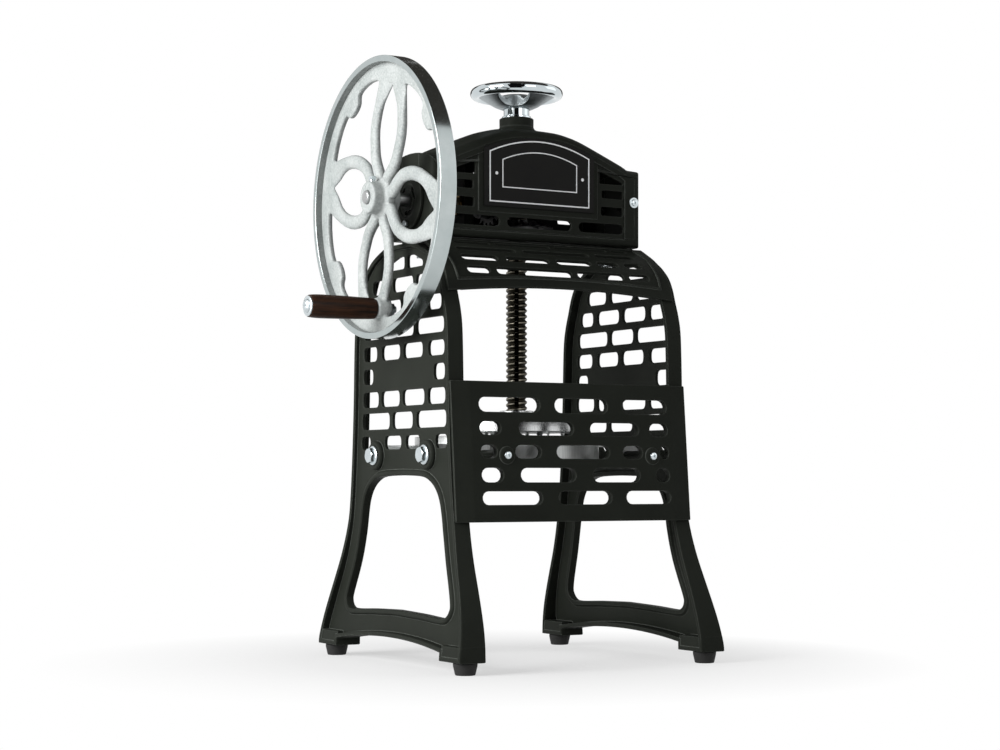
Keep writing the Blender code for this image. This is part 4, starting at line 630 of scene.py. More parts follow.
def side_frame(hand):
    """One casting in the machine's millimetres; hand is -1 at the flywheel."""
    outline = frame_outline()
    flange = moulding(outline, ((0, 1.6), (0.5, 0.5), (1.6, 0), (3.9, 0), (5, 0.5), (5.5, 1.6),
                                (5.5, 18.8), (5, 19.9), (3.9, 20.4), (1.6, 20.4), (0.5, 19.9),
                                (0, 18.8)))
    holes = [window_outline()]
    holes += [round_corners(slot, 4.5, 4) for slot in arch_slots]
    holes += [round_corners(rectangle(y0, y1, z0, z1), 7.2, 5) for z0, z1, spans in frame_slots
              for y0, y1 in spans]
    holes += [round_outline(sign * bolt_y, bolt_z, 4.3, 20) for sign in (-1, 1)]
    web = plate(inset(outline, 2.75), holes, web_thick, 1)
    laid(web, "right", (5.5 - web_thick, 0, 0))
    slice_levels(web, "Z", range(30, 171, 14))
    bead = moulding(window_outline(),
                    ((0.9, -1.5), (0.9, 7.4), (0.2, 8.4), (-1.2, 9), (-3, 8.9), (-4.6, 8), (-5.8, 6.2),
                     (-6.6, 4), (-6.6, 1), (-4, -1.5)))
    shells = [splay(laid(flange, "right"), web=False), splay(web, web=True),
              splay(laid(bead, "right"), web=True)]
    for sign in (-1, 1):
        pad = block((0.7, 129, 13.8), (19.7, 174, 31), 1.4)
        shells.append(splay(scaled(pad, 1, sign, 1), web=False))
        boss = soften([(4.3, 147), (17, 147), (17, 154.4), (15.2, 157), (4.3, 157)], 1)
        shells.append(turned(boss, 48, "X", (0, sign * bolt_y, bolt_z)))
    seat = block((110, -19, 471), (147.5, 19, 480), 1)
    return scaled(together(*shells, seat), hand, 1, 1)


make("left_side_frame", side_frame(-1), [iron], "frame", "side_frame_left")
make("right_side_frame", side_frame(1), [iron], "frame", "side_frame_right")


# Feet
# Four tapered black rubber feet, moulded with a small lip, pushed up under the corners
# of the side frames.

def moulded_rubber():
    finish = Finish("moulded_rubber", {"Specular IOR Level": 0.3})
    where = finish.place()
    grain = finish.noise(where, 1600, 2)
    colour = finish.blend(finish.noise(where, 60, 3), (0.008, 0.008, 0.008), (0.018, 0.018, 0.017))
    return finish.finished(colour, 0.62 + grain * 0.2, grain, 0.3, 0.0001)


rubber = moulded_rubber()
for x_name, foot_x in (("left", -158), ("right", 158)):
    for y_name, foot_y in (("front", -158.5), ("rear", 158.5)):
        foot_profile = soften([(0, 0), (11, 0), (13.3, 10), (13.5, 13.3), (0, 13.3)], 1.2)
        make(f"{y_name}_{x_name}_foot", turned(foot_profile, 48, "Z", (foot_x, foot_y, 0)), [rubber],
             "frame", f"foot_{y_name}_{x_name}")


# Ice table and its bolts
# A round iron table, its face and its ring turned bright, with four lugs that the zinc-plated
# flange bolts pull against the side frames. The blade stands a hair out of its mouth.

def turned_bright(name, centre, tint, rough):
    """Bright turned metal: rings on the flat faces, and on the round ones fine upright dark lines that
    are a painted reflection.
    """
    finish = Finish(name, {"Metallic": 1})
    here = finish.place(centre)
    x, y, z = finish.parts(here)
    angle = x.maths("ARCTAN2", y, x)
    radius = (x * x + y * y) ** 0.5
    upward = finish.parts(finish.node("NewGeometry", output="Normal"))[2]
    flat = (upward * upward).within()
    rings = finish.noise(finish.node("CombineXYZ", {}, {0: radius * 2600, 1: angle * 1.5}), 1)
    lines = finish.noise(finish.node("CombineXYZ", {}, {0: angle * 85, 1: z * 22}), 1, 5, 0.7)
    turning_rings_and_painted_bars = finish.ramp(rings * flat + lines * (1 - flat), (0.3, 0), (0.7, 1))
    stain = finish.noise(here, 38, 4)
    # Where the rings and lines are strong the colour falls to half: turning marks on the flat faces, a
    # painted reflection of dark bars on the round ones.
    worn = (turning_rings_and_painted_bars * 0.6 + stain * 0.3).within()
    return finish.finished(finish.blend(worn, tint, shaded(tint, 0.5)),
                           rough + turning_rings_and_painted_bars * 0.14 + stain * 0.08, turning_rings_and_painted_bars, 0.35, 0.00008)


def zinc_plate():
    finish = Finish("zinc_plate", {"Metallic": 1})
    where = finish.place()
    cloud = finish.noise(where, 260, 4)
    spangle = finish.noise(where, 60, 2)
    return finish.finished(finish.blend(cloud, (0.46, 0.52, 0.54), (0.70, 0.75, 0.77)),
                           0.2 + spangle * 0.16, cloud, 0.2, 0.00006)


zinc = zinc_plate()
table_metal = turned_bright("table_metal", (spindle_x, 0, 0.25), (0.82, 0.84, 0.83), 0.3)


def hexagon(radius, low, high, axis, at, turn=0):
    """A hexagon head with its corners chamfered."""
    shape = bmesh.new()
    bmesh.ops.create_cone(shape, cap_ends=True, segments=6, radius1=radius, radius2=radius,
                          depth=high - low)
    rounded_edges(spun(shape, turn), 0.45)
    shifted(shape, 0, 0, (low + high) / 2)
    cone = turned([(0, low - 1), (radius + 3, low - 1), (radius * 1.02, high - 1.6),
                   (radius * 0.84, high + 0.2), (0, high + 0.2)], 48)
    return stood(cut_away(shape, cone, operation="INTERSECT"), axis, at)


def ice_table():
    disc = turned(soften([(0, 250.3), (88, 250.3), (88, 229), (97, 229), (97, 250.3), (120, 250.3),
                          (120, 260.8), (0, 260.8)], 0.9), 160)
    mouth = block((10, -10, 240), (76, 0, 270))
    for vert in (v for v in mouth.verts if v.co.y > -5):
        vert.co.y += -5 if vert.co.z > 250 else 30
    shells = [cut_away(disc, mouth)]
    for side in (-1, 1):
        for sign in (-1, 1):
            ends = sorted((side * 93, side * 145.7))
            shells.append(block((ends[0], sign * bolt_y - 12, 228), (ends[1], sign * bolt_y + 12, 251),
                                1.2))
    for x in (-89, 104.9):
        shells.append(block((x - 9, -77, 230), (x + 9, -66, 252), 1))
    return together(*shells)


make("turned_table", ice_table(), [table_metal], "frame", "ice_table")
for side, x_name in ((-1, "left"), (1, "right")):
    for sign, y_name in ((-1, "front"), (1, "rear")):
        seat = (157, sign * bolt_y, bolt_z)
        washer = turned(soften([(3.9, 0.3), (11.5, 0.3), (11.2, 1.6), (9.6, 2.6), (3.9, 2.6)], 0.5),
                        48, "X", seat)
        head = hexagon(9.4, 2, 7.2, "X", seat, 0.3 + 0.5 * side * sign)
        shank = turned(rectangle(0, 4, -29, 1), 24, "X", seat)
        bolt = scaled(together(washer, head, shank), side, 1, 1)
        make(f"{y_name}_{x_name}_table_bolt", bolt, [zinc], "frame", f"table_bolt_{y_name}_{x_name}")


# Front panel
# A slotted iron plate in satin black that hides the table and the blade. Its side margins bend
# back a little to the legs, and two cross-head screws in low round bosses hold it.

panel_top, panel_low, panel_thick, panel_deep = 320, 164, 3.2, 8.5
panel_slots = (
    (286, 302.5, ((-122, -43), (-24, 47), (67, 128))),
    (260.5, 275.5, ((-122, -95), (-72, 0), (22, 88), (103, 128))),
    (234.5, 249.5, ((-122, -101), (-78, -44), (-24, 47), (65, 92), (116, 128))),
    (208, 224, ((-122, -94), (-72, 0), (23, 87), (109, 128))),
    (183, 198, ((-122, -45), (-24, 47), (67, 128))),
)
panel_screws = ((-89, "left"), (104.9, "right"))
panel_screw_z = 238
margin_x = 133


def between(table, x):
    """Straight-line value between the rows of a table of pairs."""
    for (x0, y0), (x1, y1) in zip(table, table[1:]):
        if x <= x1:
            return y0 + (y1 - y0) * (x - x0) / (x1 - x0)
    return table[-1][1]


def frame_depth(z):
    """Half depth of the side frame at a height."""
    return between([(height, depth) for depth, height in frame_profile], z)


def panel_face(x, z):
    """Depth of the panel's front face; the middle stands proud of the side margins."""
    share = (panel_top - z) / (panel_top - panel_low)
    lean = frame_depth(panel_top) * (1 - share) + frame_depth(panel_low) * share
    proud = 2.2 * min(1, max(0, (152 - abs(x)) / 18))
    return -lean - 0.3 - panel_thick - proud


def thin_margins(sheet, deep, thin, cuts):
    """Leave a sheet its depth in the middle, and thin it from behind at either side."""
    slice_levels(sheet, "X", cuts)
    for vert in sheet.verts:
        share = deep if abs(vert.co.x) < margin_x else thin
        vert.co.z = thin + (vert.co.z - deep) * share / deep


def front_panel():
    outline = round_corners(rectangle(-155.5, 155.5, panel_low, panel_top), 1.5)
    holes = [slot_outline(x0, x1, z0, z1) for z0, z1, spans in panel_slots for x0, x1 in spans]
    holes += [round_outline(x, panel_screw_z, 2.8, 20) for x, _ in panel_screws]
    sheet = plate(outline, holes, panel_deep, 0.7)
    thin_margins(sheet, panel_deep, panel_thick, (-152, -143, -134, -132, 132, 134, 143, 152))
    bosses = [turned(soften([(2.8, 0), (9.6, 0), (9.6, 4.4), (7, 5), (2.8, 5)], 0.8), 48, "Z",
                     (x, panel_screw_z, 0)) for x, _ in panel_screws]
    shape = laid(together(sheet, *bosses), "front")
    for vert in shape.verts:
        vert.co.y += panel_face(vert.co.x, vert.co.z) + panel_thick
    return shape


def cross_head(radius, high, view, at, shank, deep, step=0):
    """A domed screw head with a cross recess; step adds a flat washer under it."""
    dome = [(0, high)]
    dome += [(radius * math.sin(a), high * (0.35 + 0.65 * math.cos(a))) for a in (0.5, 0.95, 1.3)]
    dome += [(radius, high * 0.2), (radius, 0)]
    if step:
        dome = [(r, h + 1) for r, h in dome] + [(step, 1), (step, 0)]
    head = turned(soften(dome + [(shank, 0), (shank, -deep), (0, -deep)], 0.25, 2), 40)
    top = high + (1 if step else 0)
    wing = radius * 0.52
    for wide, long in ((0.55, wing), (wing, 0.55)):
        tool = block((-wide, -long, top - 1.6), (wide, long, top + 1))
        low = [v for v in tool.verts if v.co.z < top - 1]
        bmesh.ops.scale(tool, verts=low, vec=(0.55, 0.55, 1))
        head = cut_away(head, tool)
    return stood(head, view, at, Matrix.Rotation(0.5, 4, "Z"))


make("slotted_panel", front_panel(), [iron], "frame", "front_panel")
for screw_x, x_name in panel_screws:
    seat = (screw_x, panel_face(screw_x, panel_screw_z) - 2.1, panel_screw_z)
    make(f"{x_name}_panel_screw", cross_head(4.4, 2.4, "front", seat, 2.5, 18), [zinc], "frame",
         f"panel_screw_{x_name}")


# Curved cover
# A slotted iron casting bent over the front quarter of the two frames' arches, from under the
# gear housing down to an arched lower edge. A raised line runs round the slots.

cover_half, cover_low, cover_thick, cover_deep, cover_arch = 150, 417, 3.4, 4.6, 9
cover_lift = ((0, 4.6), (38, 4.6), (54.5, 1.8), (69.5, 0.3), (175.6, 0))
cover_slots = (
    (11, 7, ((-112, -65), (-58, 15), (22, 93), (100, 122))),
    (29.5, 9, ((-118, -40), (-30, 59), (68, 122))),
    (49.5, 10, ((-120, -73), (-62, -5), (5, 52), (60, 90), (98, 122))),
    (70, 9, ((-120, -91), (-82, 17), (25, 88), (96, 124))),
)


def cover_section():
    """The cover's inner face (depth, height) from its top edge down."""
    arch = [Vector(p) for p in smooth_line(frame_profile, 4) if p[1] >= cover_low]
    line = []
    for i, here in enumerate(arch):
        run = (arch[min(i + 1, len(arch) - 1)] - arch[max(i - 1, 0)]).normalized()
        moved = here + Vector((run.y, -run.x)) * 0.3
        line.append(moved + Vector((0, between(cover_lift, moved.x) if moved.x < 69.5 else 0)))
    return line[::-1]


cover_line = cover_section()
cover_steps = [0]
for here, there in zip(cover_line, cover_line[1:]):
    cover_steps.append(cover_steps[-1] + (there - here).length)
cover_long = cover_steps[-1]


def on_cover(x, along, out):
    """A point of the bent cover from its flat drawing."""
    along = min(max(along, 0), cover_long)
    i = max(k for k in range(len(cover_line) - 1) if cover_steps[k] <= along + 1e-9)
    share = (along - cover_steps[i]) / (cover_steps[i + 1] - cover_steps[i])
    here = cover_line[i].lerp(cover_line[i + 1], share)
    before = cover_line[max(i - 1, 0)]
    after = cover_line[min(i + 2, len(cover_line) - 1)]
    run = (after - before).normalized()
    place = here + Vector((-run.y, run.x)) * out
    return (x, -place.x, place.y)


def curved_cover():
    """Drawn flat, sliced across and bent over the arch; along runs from the top edge down."""
    low_edge = [(x, cover_long - cover_arch * (1 - (x / cover_half) ** 2))
                for x in range(-150, 151, 15)]
    outline = low_edge + [(cover_half, 0), (-cover_half, 0)]
    holes = [slot_outline(x0, x1, s * 0.97 - high / 2, s * 0.97 + high / 2)
             for s, high, spans in cover_slots for x0, x1 in spans]
    sheet = plate(outline, holes, cover_deep, 0.9)
    thin_margins(sheet, cover_deep, cover_thick, (-134, -132, 132, 134))
    border = [(x, cover_long - 14 - cover_arch * (1 - (x / cover_half) ** 2) * 0.8)
              for x in range(-134, 135, 12)]
    border = [(-134, border[0][1])] + border[1:-1] + [(134, border[-1][1])]
    border += [(137, 30), (133, 3), (-133, 3), (-137, 30)]
    rib = moulding(border, ((0, 2.4), (0.1, 4.3), (0.6, 4.9), (1.8, 4.9), (2.4, 4.3), (2.5, 2.4)))
    shape = together(sheet, rib)
    slice_levels(shape, "Y", [3 * i for i in range(1, int(cover_long / 3) + 1)])
    for vert in shape.verts:
        vert.co = on_cover(*vert.co)
    return shape


make("arched_cover", curved_cover(), [iron], "frame", "curved_cover")


# Gear housing
# Three satin black castings under one crowned roof: the head with the bearing walls and the
# top boss, and a hollow slotted cover screwed on at the front and at the rear.

roof = (
    (0, 622.5), (25, 621.5), (41, 619), (58, 614.5), (78, 606.8), (116, 591),
    (127, 585.5), (141.5, 584.5),
)
head_half, case_depth, case_low, roof_fall, roof_blend = 141.5, 52, 487, 9, 26
shaft_z = 531
bearing_bolts = (("upper", 558.5), ("lower", 503.5))
case_screw_x, case_screw_z = 131, 540
case_slots = ((543, 552.5, 87, 117), (522.5, 533, 86, 117))
case_long_slots = ((-118, -52), (-42, 45), (55, 118))


def roof_outline(low):
    """The housing's section in X and Z, counter-clockwise from the middle of its floor."""
    half = [(0, low), (head_half, low)] + smooth_line(roof, 3)[::-1]
    return half + flipped(half[1:-1])


def crowned(shape):
    """Let the roof fall away to the front and rear."""
    line = smooth_line(roof, 3)
    for vert in shape.verts:
        top = between(line, abs(vert.co.x))
        share = min(1, max(0, (vert.co.z - top + roof_blend) / roof_blend))
        vert.co.z -= roof_fall * (vert.co.y / case_depth) ** 2 * share * share * (3 - 2 * share)
    return shape


def gear_head():
    tube = moulding(roof_outline(480.4),
                    ((0, -20), (0.7, -20.7), (4.3, -20.7), (5, -20), (5, 20), (4.3, 20.7), (0.7, 20.7),
                     (0, 20)))
    slice_levels(tube, "Z", (-12, 0, 12))
    bores = [turned(rectangle(0, 15.3, 590, 640), 48), turned(rectangle(0, 14.5, 470, 495), 48),
             turned(rectangle(0, 17.5, -150, -130), 48, "X", (0, 0, shaft_z))]
    bores += [turned(rectangle(0, 3.3, 475, 490), 20, "Z", (x, y, 0)) for x in (-122, 122)
              for y in (-10, 10)]
    bores += [turned(rectangle(0, 2.8, -150, -130), 20, "X", (0, 0, z)) for _, z in bearing_bolts]
    tube = cut_away(crowned(laid(tube, "front")), *bores)
    boss = turned(soften([(15.3, 604), (20, 604), (20, 616), (20.2, 636), (15.3, 636)], 1.4), 72)
    collar = turned(soften([(15.5, 612), (31, 612), (26, 620.6), (21.5, 622.6), (19.6, 627),
                            (15.5, 627)], 2.5), 72)
    wall = plate(rectangle(-17.7, 17.7, 483, 603), [round_outline(0, shaft_z, 10.8)], 12, 0.8)
    return together(tube, boss, collar, laid(wall, "right", (-80, 0, 0)))


def recess_outline():
    """Inner edge of the front cover's raised rim."""
    top = [(x, between(smooth_line(roof, 3), x) - roof_fall - 13) for x in range(0, 119, 6)]
    half = [(0, 495), (119, 495), (119, 566), (112, 571)]
    half += [p for p in top[::-1] if p[0] < 108]
    return half + flipped(half[1:-1])


def housing_cover(rear):
    """A hollow cover drawn from the front, turned round for the rear."""
    rim = moulding(roof_outline(case_low),
                   ((0, 21), (0, 43), (0.5, 46.5), (1.6, 49), (3.4, 50.9), (5.8, 51.8), (8.5, 52),
                    (9.5, 52), (9.5, 47), (4.5, 46), (4.5, 21)))
    band = plate(inset(roof_outline(case_low), 8.5), [recess_outline()], 5, 0.9)
    holes = [round_corners(rectangle(a, b, z0, z1), 2.6, 3) for z0, z1, x0, x1 in case_slots
             for a, b in ((x0, x1), (-x1, -x0))]
    corner = [(84, 560), (117, 560), (117, 562.5), (84, 575)]
    holes += [round_corners(points, 1.2, 2) for points in (corner, flipped(corner))]
    holes += [slot_outline(x0, x1, 501.5, 513) for x0, x1 in case_long_slots]
    if rear:
        holes += [slot_outline(x0, x1, z - 5, z + 5) for z in (532, 552, 572)
                  for x0, x1 in ((-70, -8), (8, 70))]
    sheet = plate(inset(recess_outline(), -3), holes, 4, 0.8)
    shells = [rim, shifted(band, 0, 0, 47), shifted(sheet, 0, 0, 46.6)]
    if not rear:
        shells.append(shifted(plate(plate_outline(6), [], 3, 0.7), 0, 0, 48.6))
    shells += [turned(soften(rectangle(2.8, 7, 21.2, 51), 0.5), 32, "Z", (x, case_screw_z, 0))
               for x in (-case_screw_x, case_screw_x)]
    shape = laid(together(*shells), "front")
    return crowned(spun(shape, math.pi) if rear else shape)


# Nameplate
# A thin black plate with a crowned top, screwed to the front cover and bare but for two
# printed white lines that follow its edge and a white dot at either side.

def plate_outline(grow=0):
    """The nameplate's edge in X and Z, larger or smaller all round."""
    half = 74.5 + grow
    top = [(half * (1 - i / 8), 591 + grow + 15 * (1 - (1 - i / 8) ** 2)) for i in range(17)]
    return [(-half, 523.6 - grow), (half, 523.6 - grow)] + top


def crown_line(half, low, corner, crown, wide):
    """A printed line along a crowned outline."""
    top = [(half * (1 - i / 10), corner + (crown - corner) * (1 - (1 - i / 10) ** 2))
           for i in range(21)]
    outline = [(-half, low), (half, low)] + top
    return plate(outline, [inset(outline, wide)], 0.3, 0.05, 0)


def plate_paint(name, dark, light, rough):
    finish = Finish(name, {"Specular IOR Level": 0.07})
    where = finish.place()
    grain = finish.noise(where, 1500, 2)
    colour = finish.blend(finish.noise(where, 45, 4), dark, light)
    return finish.finished(colour, rough + grain * 0.12, grain, 0.2, 0.00005)


def nameplate():
    lines = [crown_line(67.5, 529, 587, 602.5, 1.5), crown_line(50.5, 546, 578.5, 589.5, 1.2)]
    lines += [turned(rectangle(0, 1.9, 0, 0.3), 24, "Z", (x, 562, 0)) for x in (-58, 58)]
    print_on = shifted(together(*lines), 0, 0, 1.45)
    for face in print_on.faces:
        face.material_index = 1
    sheet = plate(plate_outline(-0.4), [], 1.6, 0.3)
    return laid(together(sheet, print_on), "front", (0, -52.2, 0))


make("housing_head", gear_head(), [iron], "frame", "gear_head")
make("housing_front", housing_cover(False), [iron], "frame", "front_cover")
make("housing_rear", housing_cover(True), [iron], "frame", "rear_cover")
plate_black = plate_paint("plate_black", (0.006, 0.006, 0.006), (0.010, 0.010, 0.009), 0.4)
plate_white = plate_paint("plate_white", (0.86, 0.88, 0.90), (0.94, 0.95, 0.96), 0.45)
make("crowned_plate", nameplate(), [plate_black, plate_white], "frame", "nameplate")
for case_side, view in ((-1, "front"), (1, "rear")):
    for sign, x_name in ((-1, "left"), (1, "right")):
        seat = (sign * case_screw_x, case_side * (case_depth + 0.3), case_screw_z)
        screw = cross_head(4, 2.2, view, seat, 2.5, 27, step=6.2)
        make(f"{view}_{x_name}_case_screw", screw, [zinc], "frame", f"{view}_case_screw_{x_name}")


# Crankshaft line
# The bearing flange is a black casting with three openings and two bolts. The steel shaft,
# the two bevel gears, the bush and the collar are machined and stay in the housing.

def bearing_flange():
    spots = ((17.5, 34), (17.5, 17), (17.5, 0), (17.5, -17), (17.5, -34), (11.8, -22), (11.8, 22))
    openings = [round_corners([polar(r, turn + 60 + a) for r, a in spots][::-1], 1.5, 2)
                for turn in (90, 210, 330)]
    bore = [round_outline(0, 0, 7.8, 32)]
    web = plate(round_outline(0, 0, 20, 48), openings + bore, 2.7, 0.5)
    ring = turned(soften([(18, 0), (34, 0), (34, 4.2), (20.5, 4.2), (18.8, 2.6), (18, 2.6)], 0.9), 80)
    bolt_holes = [turned(rectangle(0, 2.8, -2, 8), 20, "Z", (0, y, 0)) for y in (27.5, -27.5)]
    hub = turned(soften(rectangle(7.8, 12.5, 0, 3.4), 0.5), 48)
    # A thin disc shuts the three openings from behind so that they look dark: painted shade where the
    # housing's dark inside lies.
    floor = shifted(plate(round_outline(0, 0, 17.2, 48), bore, 1.2, 0.2), 0, 0, -1.4)
    shape = together(web, cut_away(ring, *bolt_holes), hub, floor)
    return laid(shape, "left", (-141.8, 0, shaft_z))


def machined_steel(name, tint, rough):
    """Plain machined steel with fine uneven lines and a film of oil."""
    finish = Finish(name, {"Metallic": 1})
    film = finish.noise(finish.place(), 90, 4)
    marks = finish.noise(finish.place(scale=(1, 12, 12)), 300, 3)
    return finish.finished(finish.blend(film, tint, shaded(tint, 0.5)), rough + film * 0.14, marks,
                           0.25, 0.00006)


steel = machined_steel("machined_steel", (0.56, 0.57, 0.57), 0.26)
dark_steel = machined_steel("oiled_steel", (0.10, 0.10, 0.10), 0.34)
bronze = machined_steel("bush_bronze", (0.52, 0.36, 0.16), 0.3)
make("shaft_bearing", bearing_flange(), [iron], "frame", "crank_bearing")
for bolt_name, place_z in bearing_bolts:
    bolt = together(hexagon(4.6, 0.3, 3.9, "Z", (0, 0, 0)), turned(rectangle(0, 2.5, -8, 1), 20))
    laid(bolt, "left", (-146, 0, place_z))
    make(f"{bolt_name}_bearing_bolt", bolt, [zinc], "frame", f"bearing_bolt_{bolt_name}")


def dress(material, *names):
    """Give CAD nodes whose shape stays their finish."""
    for name in names:
        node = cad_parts[name]
        node.data.materials.clear()
        node.data.materials.append(material)


dress(steel, "crankshaft", "drive_key", "thrust_washer", "shaft_collar", "nut_retainer", "blade")
dress(dark_steel, "bevel_pinion", "bevel_gear", "blade_clamp")
dress(bronze, "inner_bush")
dress(zinc, "head_bolt_front_left", "head_bolt_front_right", "head_bolt_rear_left",
      "head_bolt_rear_right", "clamp_screw_inner", "clamp_screw_outer")
dress(iron, "panel_stay_left", "panel_stay_right")


# Flywheel
# One iron casting in silver-grey paint, with four petals of round spokes, a flat ring with
# wavy lugs, the hub and the crank boss. Only the rim is turned and polished.

wheel_mid, pin_z = -177.5, shaft_z - 126
almond = ((27, 0), (38, 8), (54, 15.5), (72, 21), (87, 21.8), (103, 18), (119, 10), (131, 0))
teardrop = ((28, 0), (33, 8.5), (44, 18), (62, 25.2), (82, 24.8), (102, 18.8), (119, 9.5), (130, 0))
spoke_edge = ((52, 45), (57, 40.5), (69, 36.5), (83, 31.8), (100, 24.2), (128, 15.2))
loop_edge = ((59, 48.5), (70, 53), (90, 60.3), (110, 68.2), (128, 77))
lug_line = ((15.5, 0.2), (24, 0), (35.5, 0), (38.5, 0.75), (44, 1), (49.5, 0.75), (52.5, 0), (65, 0),
            (76, 0.2))


def wheel_place(radius, degrees):
    """A point of the wheel in (Y, Z), the angle taken from its own top towards the front."""
    angle = math.radians(78 - degrees)
    return Vector((-radius * math.cos(angle), shaft_z + radius * math.sin(angle)))


def spoke(window, edge, from_zero, top, hand):
    """One cast spoke along the middle between a window's side and the corner window's edge."""
    slim = 15.5 if from_zero else 16.5
    widest = ((24, slim), (106, slim), (120, 24), (131, 38))
    deepest = ((24, 6.4), (60, 5.2), (104, 4.8), (122, 3.3), (140, 3.2))
    sides = [(math.hypot(r, w), math.degrees(math.atan2(w, r))) for r, w in window]
    rows = []
    for radius in (24, 30, 38, 46, 54, 63, 72, 82, 92, 102, 112, 122, 131, 140):
        side = between(sides, min(max(radius, sides[0][0]), sides[-1][0]))
        inner = side if from_zero else 90 - side
        outer = 46 if radius < edge[0][0] else between(edge, min(radius, edge[-1][0]))
        span = math.radians(abs(outer - inner)) * radius * (0.9 if radius < 106 else 1)
        wide = min(max(span, 8), between(widest, min(radius, 131))) / 2
        rows.append((wheel_place(radius, top + hand * (inner + outer) / 2), wide,
                     between(deepest, radius)))
    loops = []
    for i, (here, wide, deep) in enumerate(rows):
        run = (rows[min(i + 1, len(rows) - 1)][0] - rows[max(i - 1, 0)][0]).normalized()
        side = Vector((-run.y, run.x))
        loops.append([(wheel_mid + deep * v, *(here + side * (wide * u)))
                      for u, v in round_outline(0, 0, 1, 20)])
    return lofted(loops)


def wheel_casting():
    """Hub, spokes, ring and crank boss, fused and smoothed as a casting is."""
    shells = []
    edge = []
    angles = [(a, 138 - 12.5 * share) for a, share in smooth_line(lug_line, 3)]
    for top in (0, 180):
        for hand in (-1, 1):
            shells.append(spoke(almond, spoke_edge, True, top, hand))
            shells.append(spoke(teardrop, loop_edge, False, top, hand))
        edge += [tuple(wheel_place(r, top + a)) for a, r in angles]
        edge += [tuple(wheel_place(r, top + 180 - a)) for a, r in reversed(angles)]
    ring = plate([tuple(wheel_place(154.5, a)) for a in range(0, 360, 3)], [edge], 7, 1.5)
    hub = turned([(7.8, -197), (17.6, -197), (18.5, -195.6), (18.9, -184), (24, -181), (24, -174),
                  (18.8, -171), (18.5, -163), (7.8, -163)], 72, "X", (0, 0, shaft_z))
    boss = turned([(4.3, -187.6), (11.4, -187.6), (12.6, -186), (13.8, -176), (13.5, -170.6),
                   (4.3, -170.6)], 48, "X", (0, 0, pin_z))
    return fused(together(*shells, laid(ring, "right", (-181, 0, 0)), hub, boss), 1.2, 7)


def wheel_rim():
    profile = soften([(156, -169), (153, -169), (153, -189), (160, -189), (160, -169), (156, -169)],
                     0.9)[:-1]
    rim = turned(profile, 200, "X", (0, 0, shaft_z))
    # The outer face and the front take the polished finish; the inner wall takes a darker copy of the
    # paint, which is painted shade.
    for face in rim.faces:
        middle = face.calc_center_median()
        out = math.hypot(middle.y, middle.z - shaft_z)
        face.material_index = 1 if out > 159 or middle.x < -188.7 else 2 if out < 153.5 else 0
    return rim


def silver_paint(name, tone):
    """Silver-grey enamel over a rough casting, darker in the hollows of its pits as painted shade; a
    tone below 1 darkens it all over.
    """
    finish = Finish(name, {"Specular IOR Level": 0.4})
    where = finish.place()
    pits = finish.noise(where, 420, 4, 0.62)
    height = pits * 0.5 + finish.noise(where, 150, 2) * 0.5
    # The colour is darker where the pits are low, which is painted shade in their hollows; the larger
    # mottle is the paint's own.
    shade = finish.ramp(finish.noise(where, 26, 4) * 0.4 + pits * 0.6, (0.36, 0), (0.6, 1))
    colour = finish.blend(shade, shaded((0.22, 0.245, 0.24), tone),
                          shaded((0.385, 0.405, 0.398), tone))
    return finish.finished(colour, 0.38 + pits * 0.18, height, 0.8, 0.0011)


def polished_rim():
    finish = Finish("polished_rim", {"Metallic": 1})
    lines = finish.noise(finish.place(scale=(40, 1, 1)), 110, 3)
    cloud = finish.noise(finish.place(), 30, 3)
    return finish.finished(finish.blend(cloud, (0.36, 0.42, 0.42), (0.58, 0.62, 0.62)),
                           0.09 + lines * 0.08 + cloud * 0.05, lines, 0.12, 0.00005)


flywheel = together(wheel_casting(), wheel_rim())
# The rim's inner wall has the same paint at 0.6 of its colour: painted shade inside the rim.
wheel_paints = [silver_paint("silver_paint", 1), polished_rim(), silver_paint("inner_rim_painted_shade", 0.6)]
make("spoked_wheel", flywheel, wheel_paints, "flywheel", "flywheel")
set_screw = together(turned(rectangle(0, 3, 538.8, 551.5), 24, "Z", (-190, 0, 0)),
                     block((-193.2, -3.2, 550.8), (-186.8, 3.2, 555.3), 0.6))
make("hub_screw", set_screw, [zinc], "flywheel", "hub_set_screw")


# Crank pin and grip
# A turned hardwood grip, stained dark brown, on a steel pin with a slotted domed head.
# A washer closes its end, and the pin is held behind the wheel's boss by a nut.

def stained_wood():
    finish = Finish("stained_wood", {"Specular IOR Level": 0.12})
    centre = (0, 0, pin_z * MM)
    grain_place = finish.place(centre, (5, 60, 60))
    warp = finish.noise(grain_place, 1.2, 3)
    bands = finish.noise(grain_place, 4.5, 6, 0.65)
    pores = finish.noise(finish.place(centre, (14, 420, 420)), 3, 2)
    streak = finish.ramp((bands * 0.75 + warp * 0.35).within(), (0.38, 0), (0.68, 1))
    colour = finish.blend(streak, (0.0070, 0.0032, 0.0016), (0.042, 0.0160, 0.0068))
    dark = finish.blend(finish.ramp(pores, (0.3, 1), (0.45, 0)), colour, (0.006, 0.003, 0.002))
    return finish.finished(dark, 0.34 + bands * 0.18, bands * 0.5 + pores * 0.5, 0.35, 0.0002)


def crank_grip():
    swell = smooth_line(((11.4, -3.6), (11.9, -7), (12.4, -20), (13, -42), (13.4, -66), (13.2, -78),
                         (12.5, -85)), 4)
    profile = [(4.3, -3.6)] + swell + [(4.3, -85)]
    return turned([(r, -184.6 + h) for r, h in soften(profile, 0.7)], 72, "X", (0, 0, pin_z))


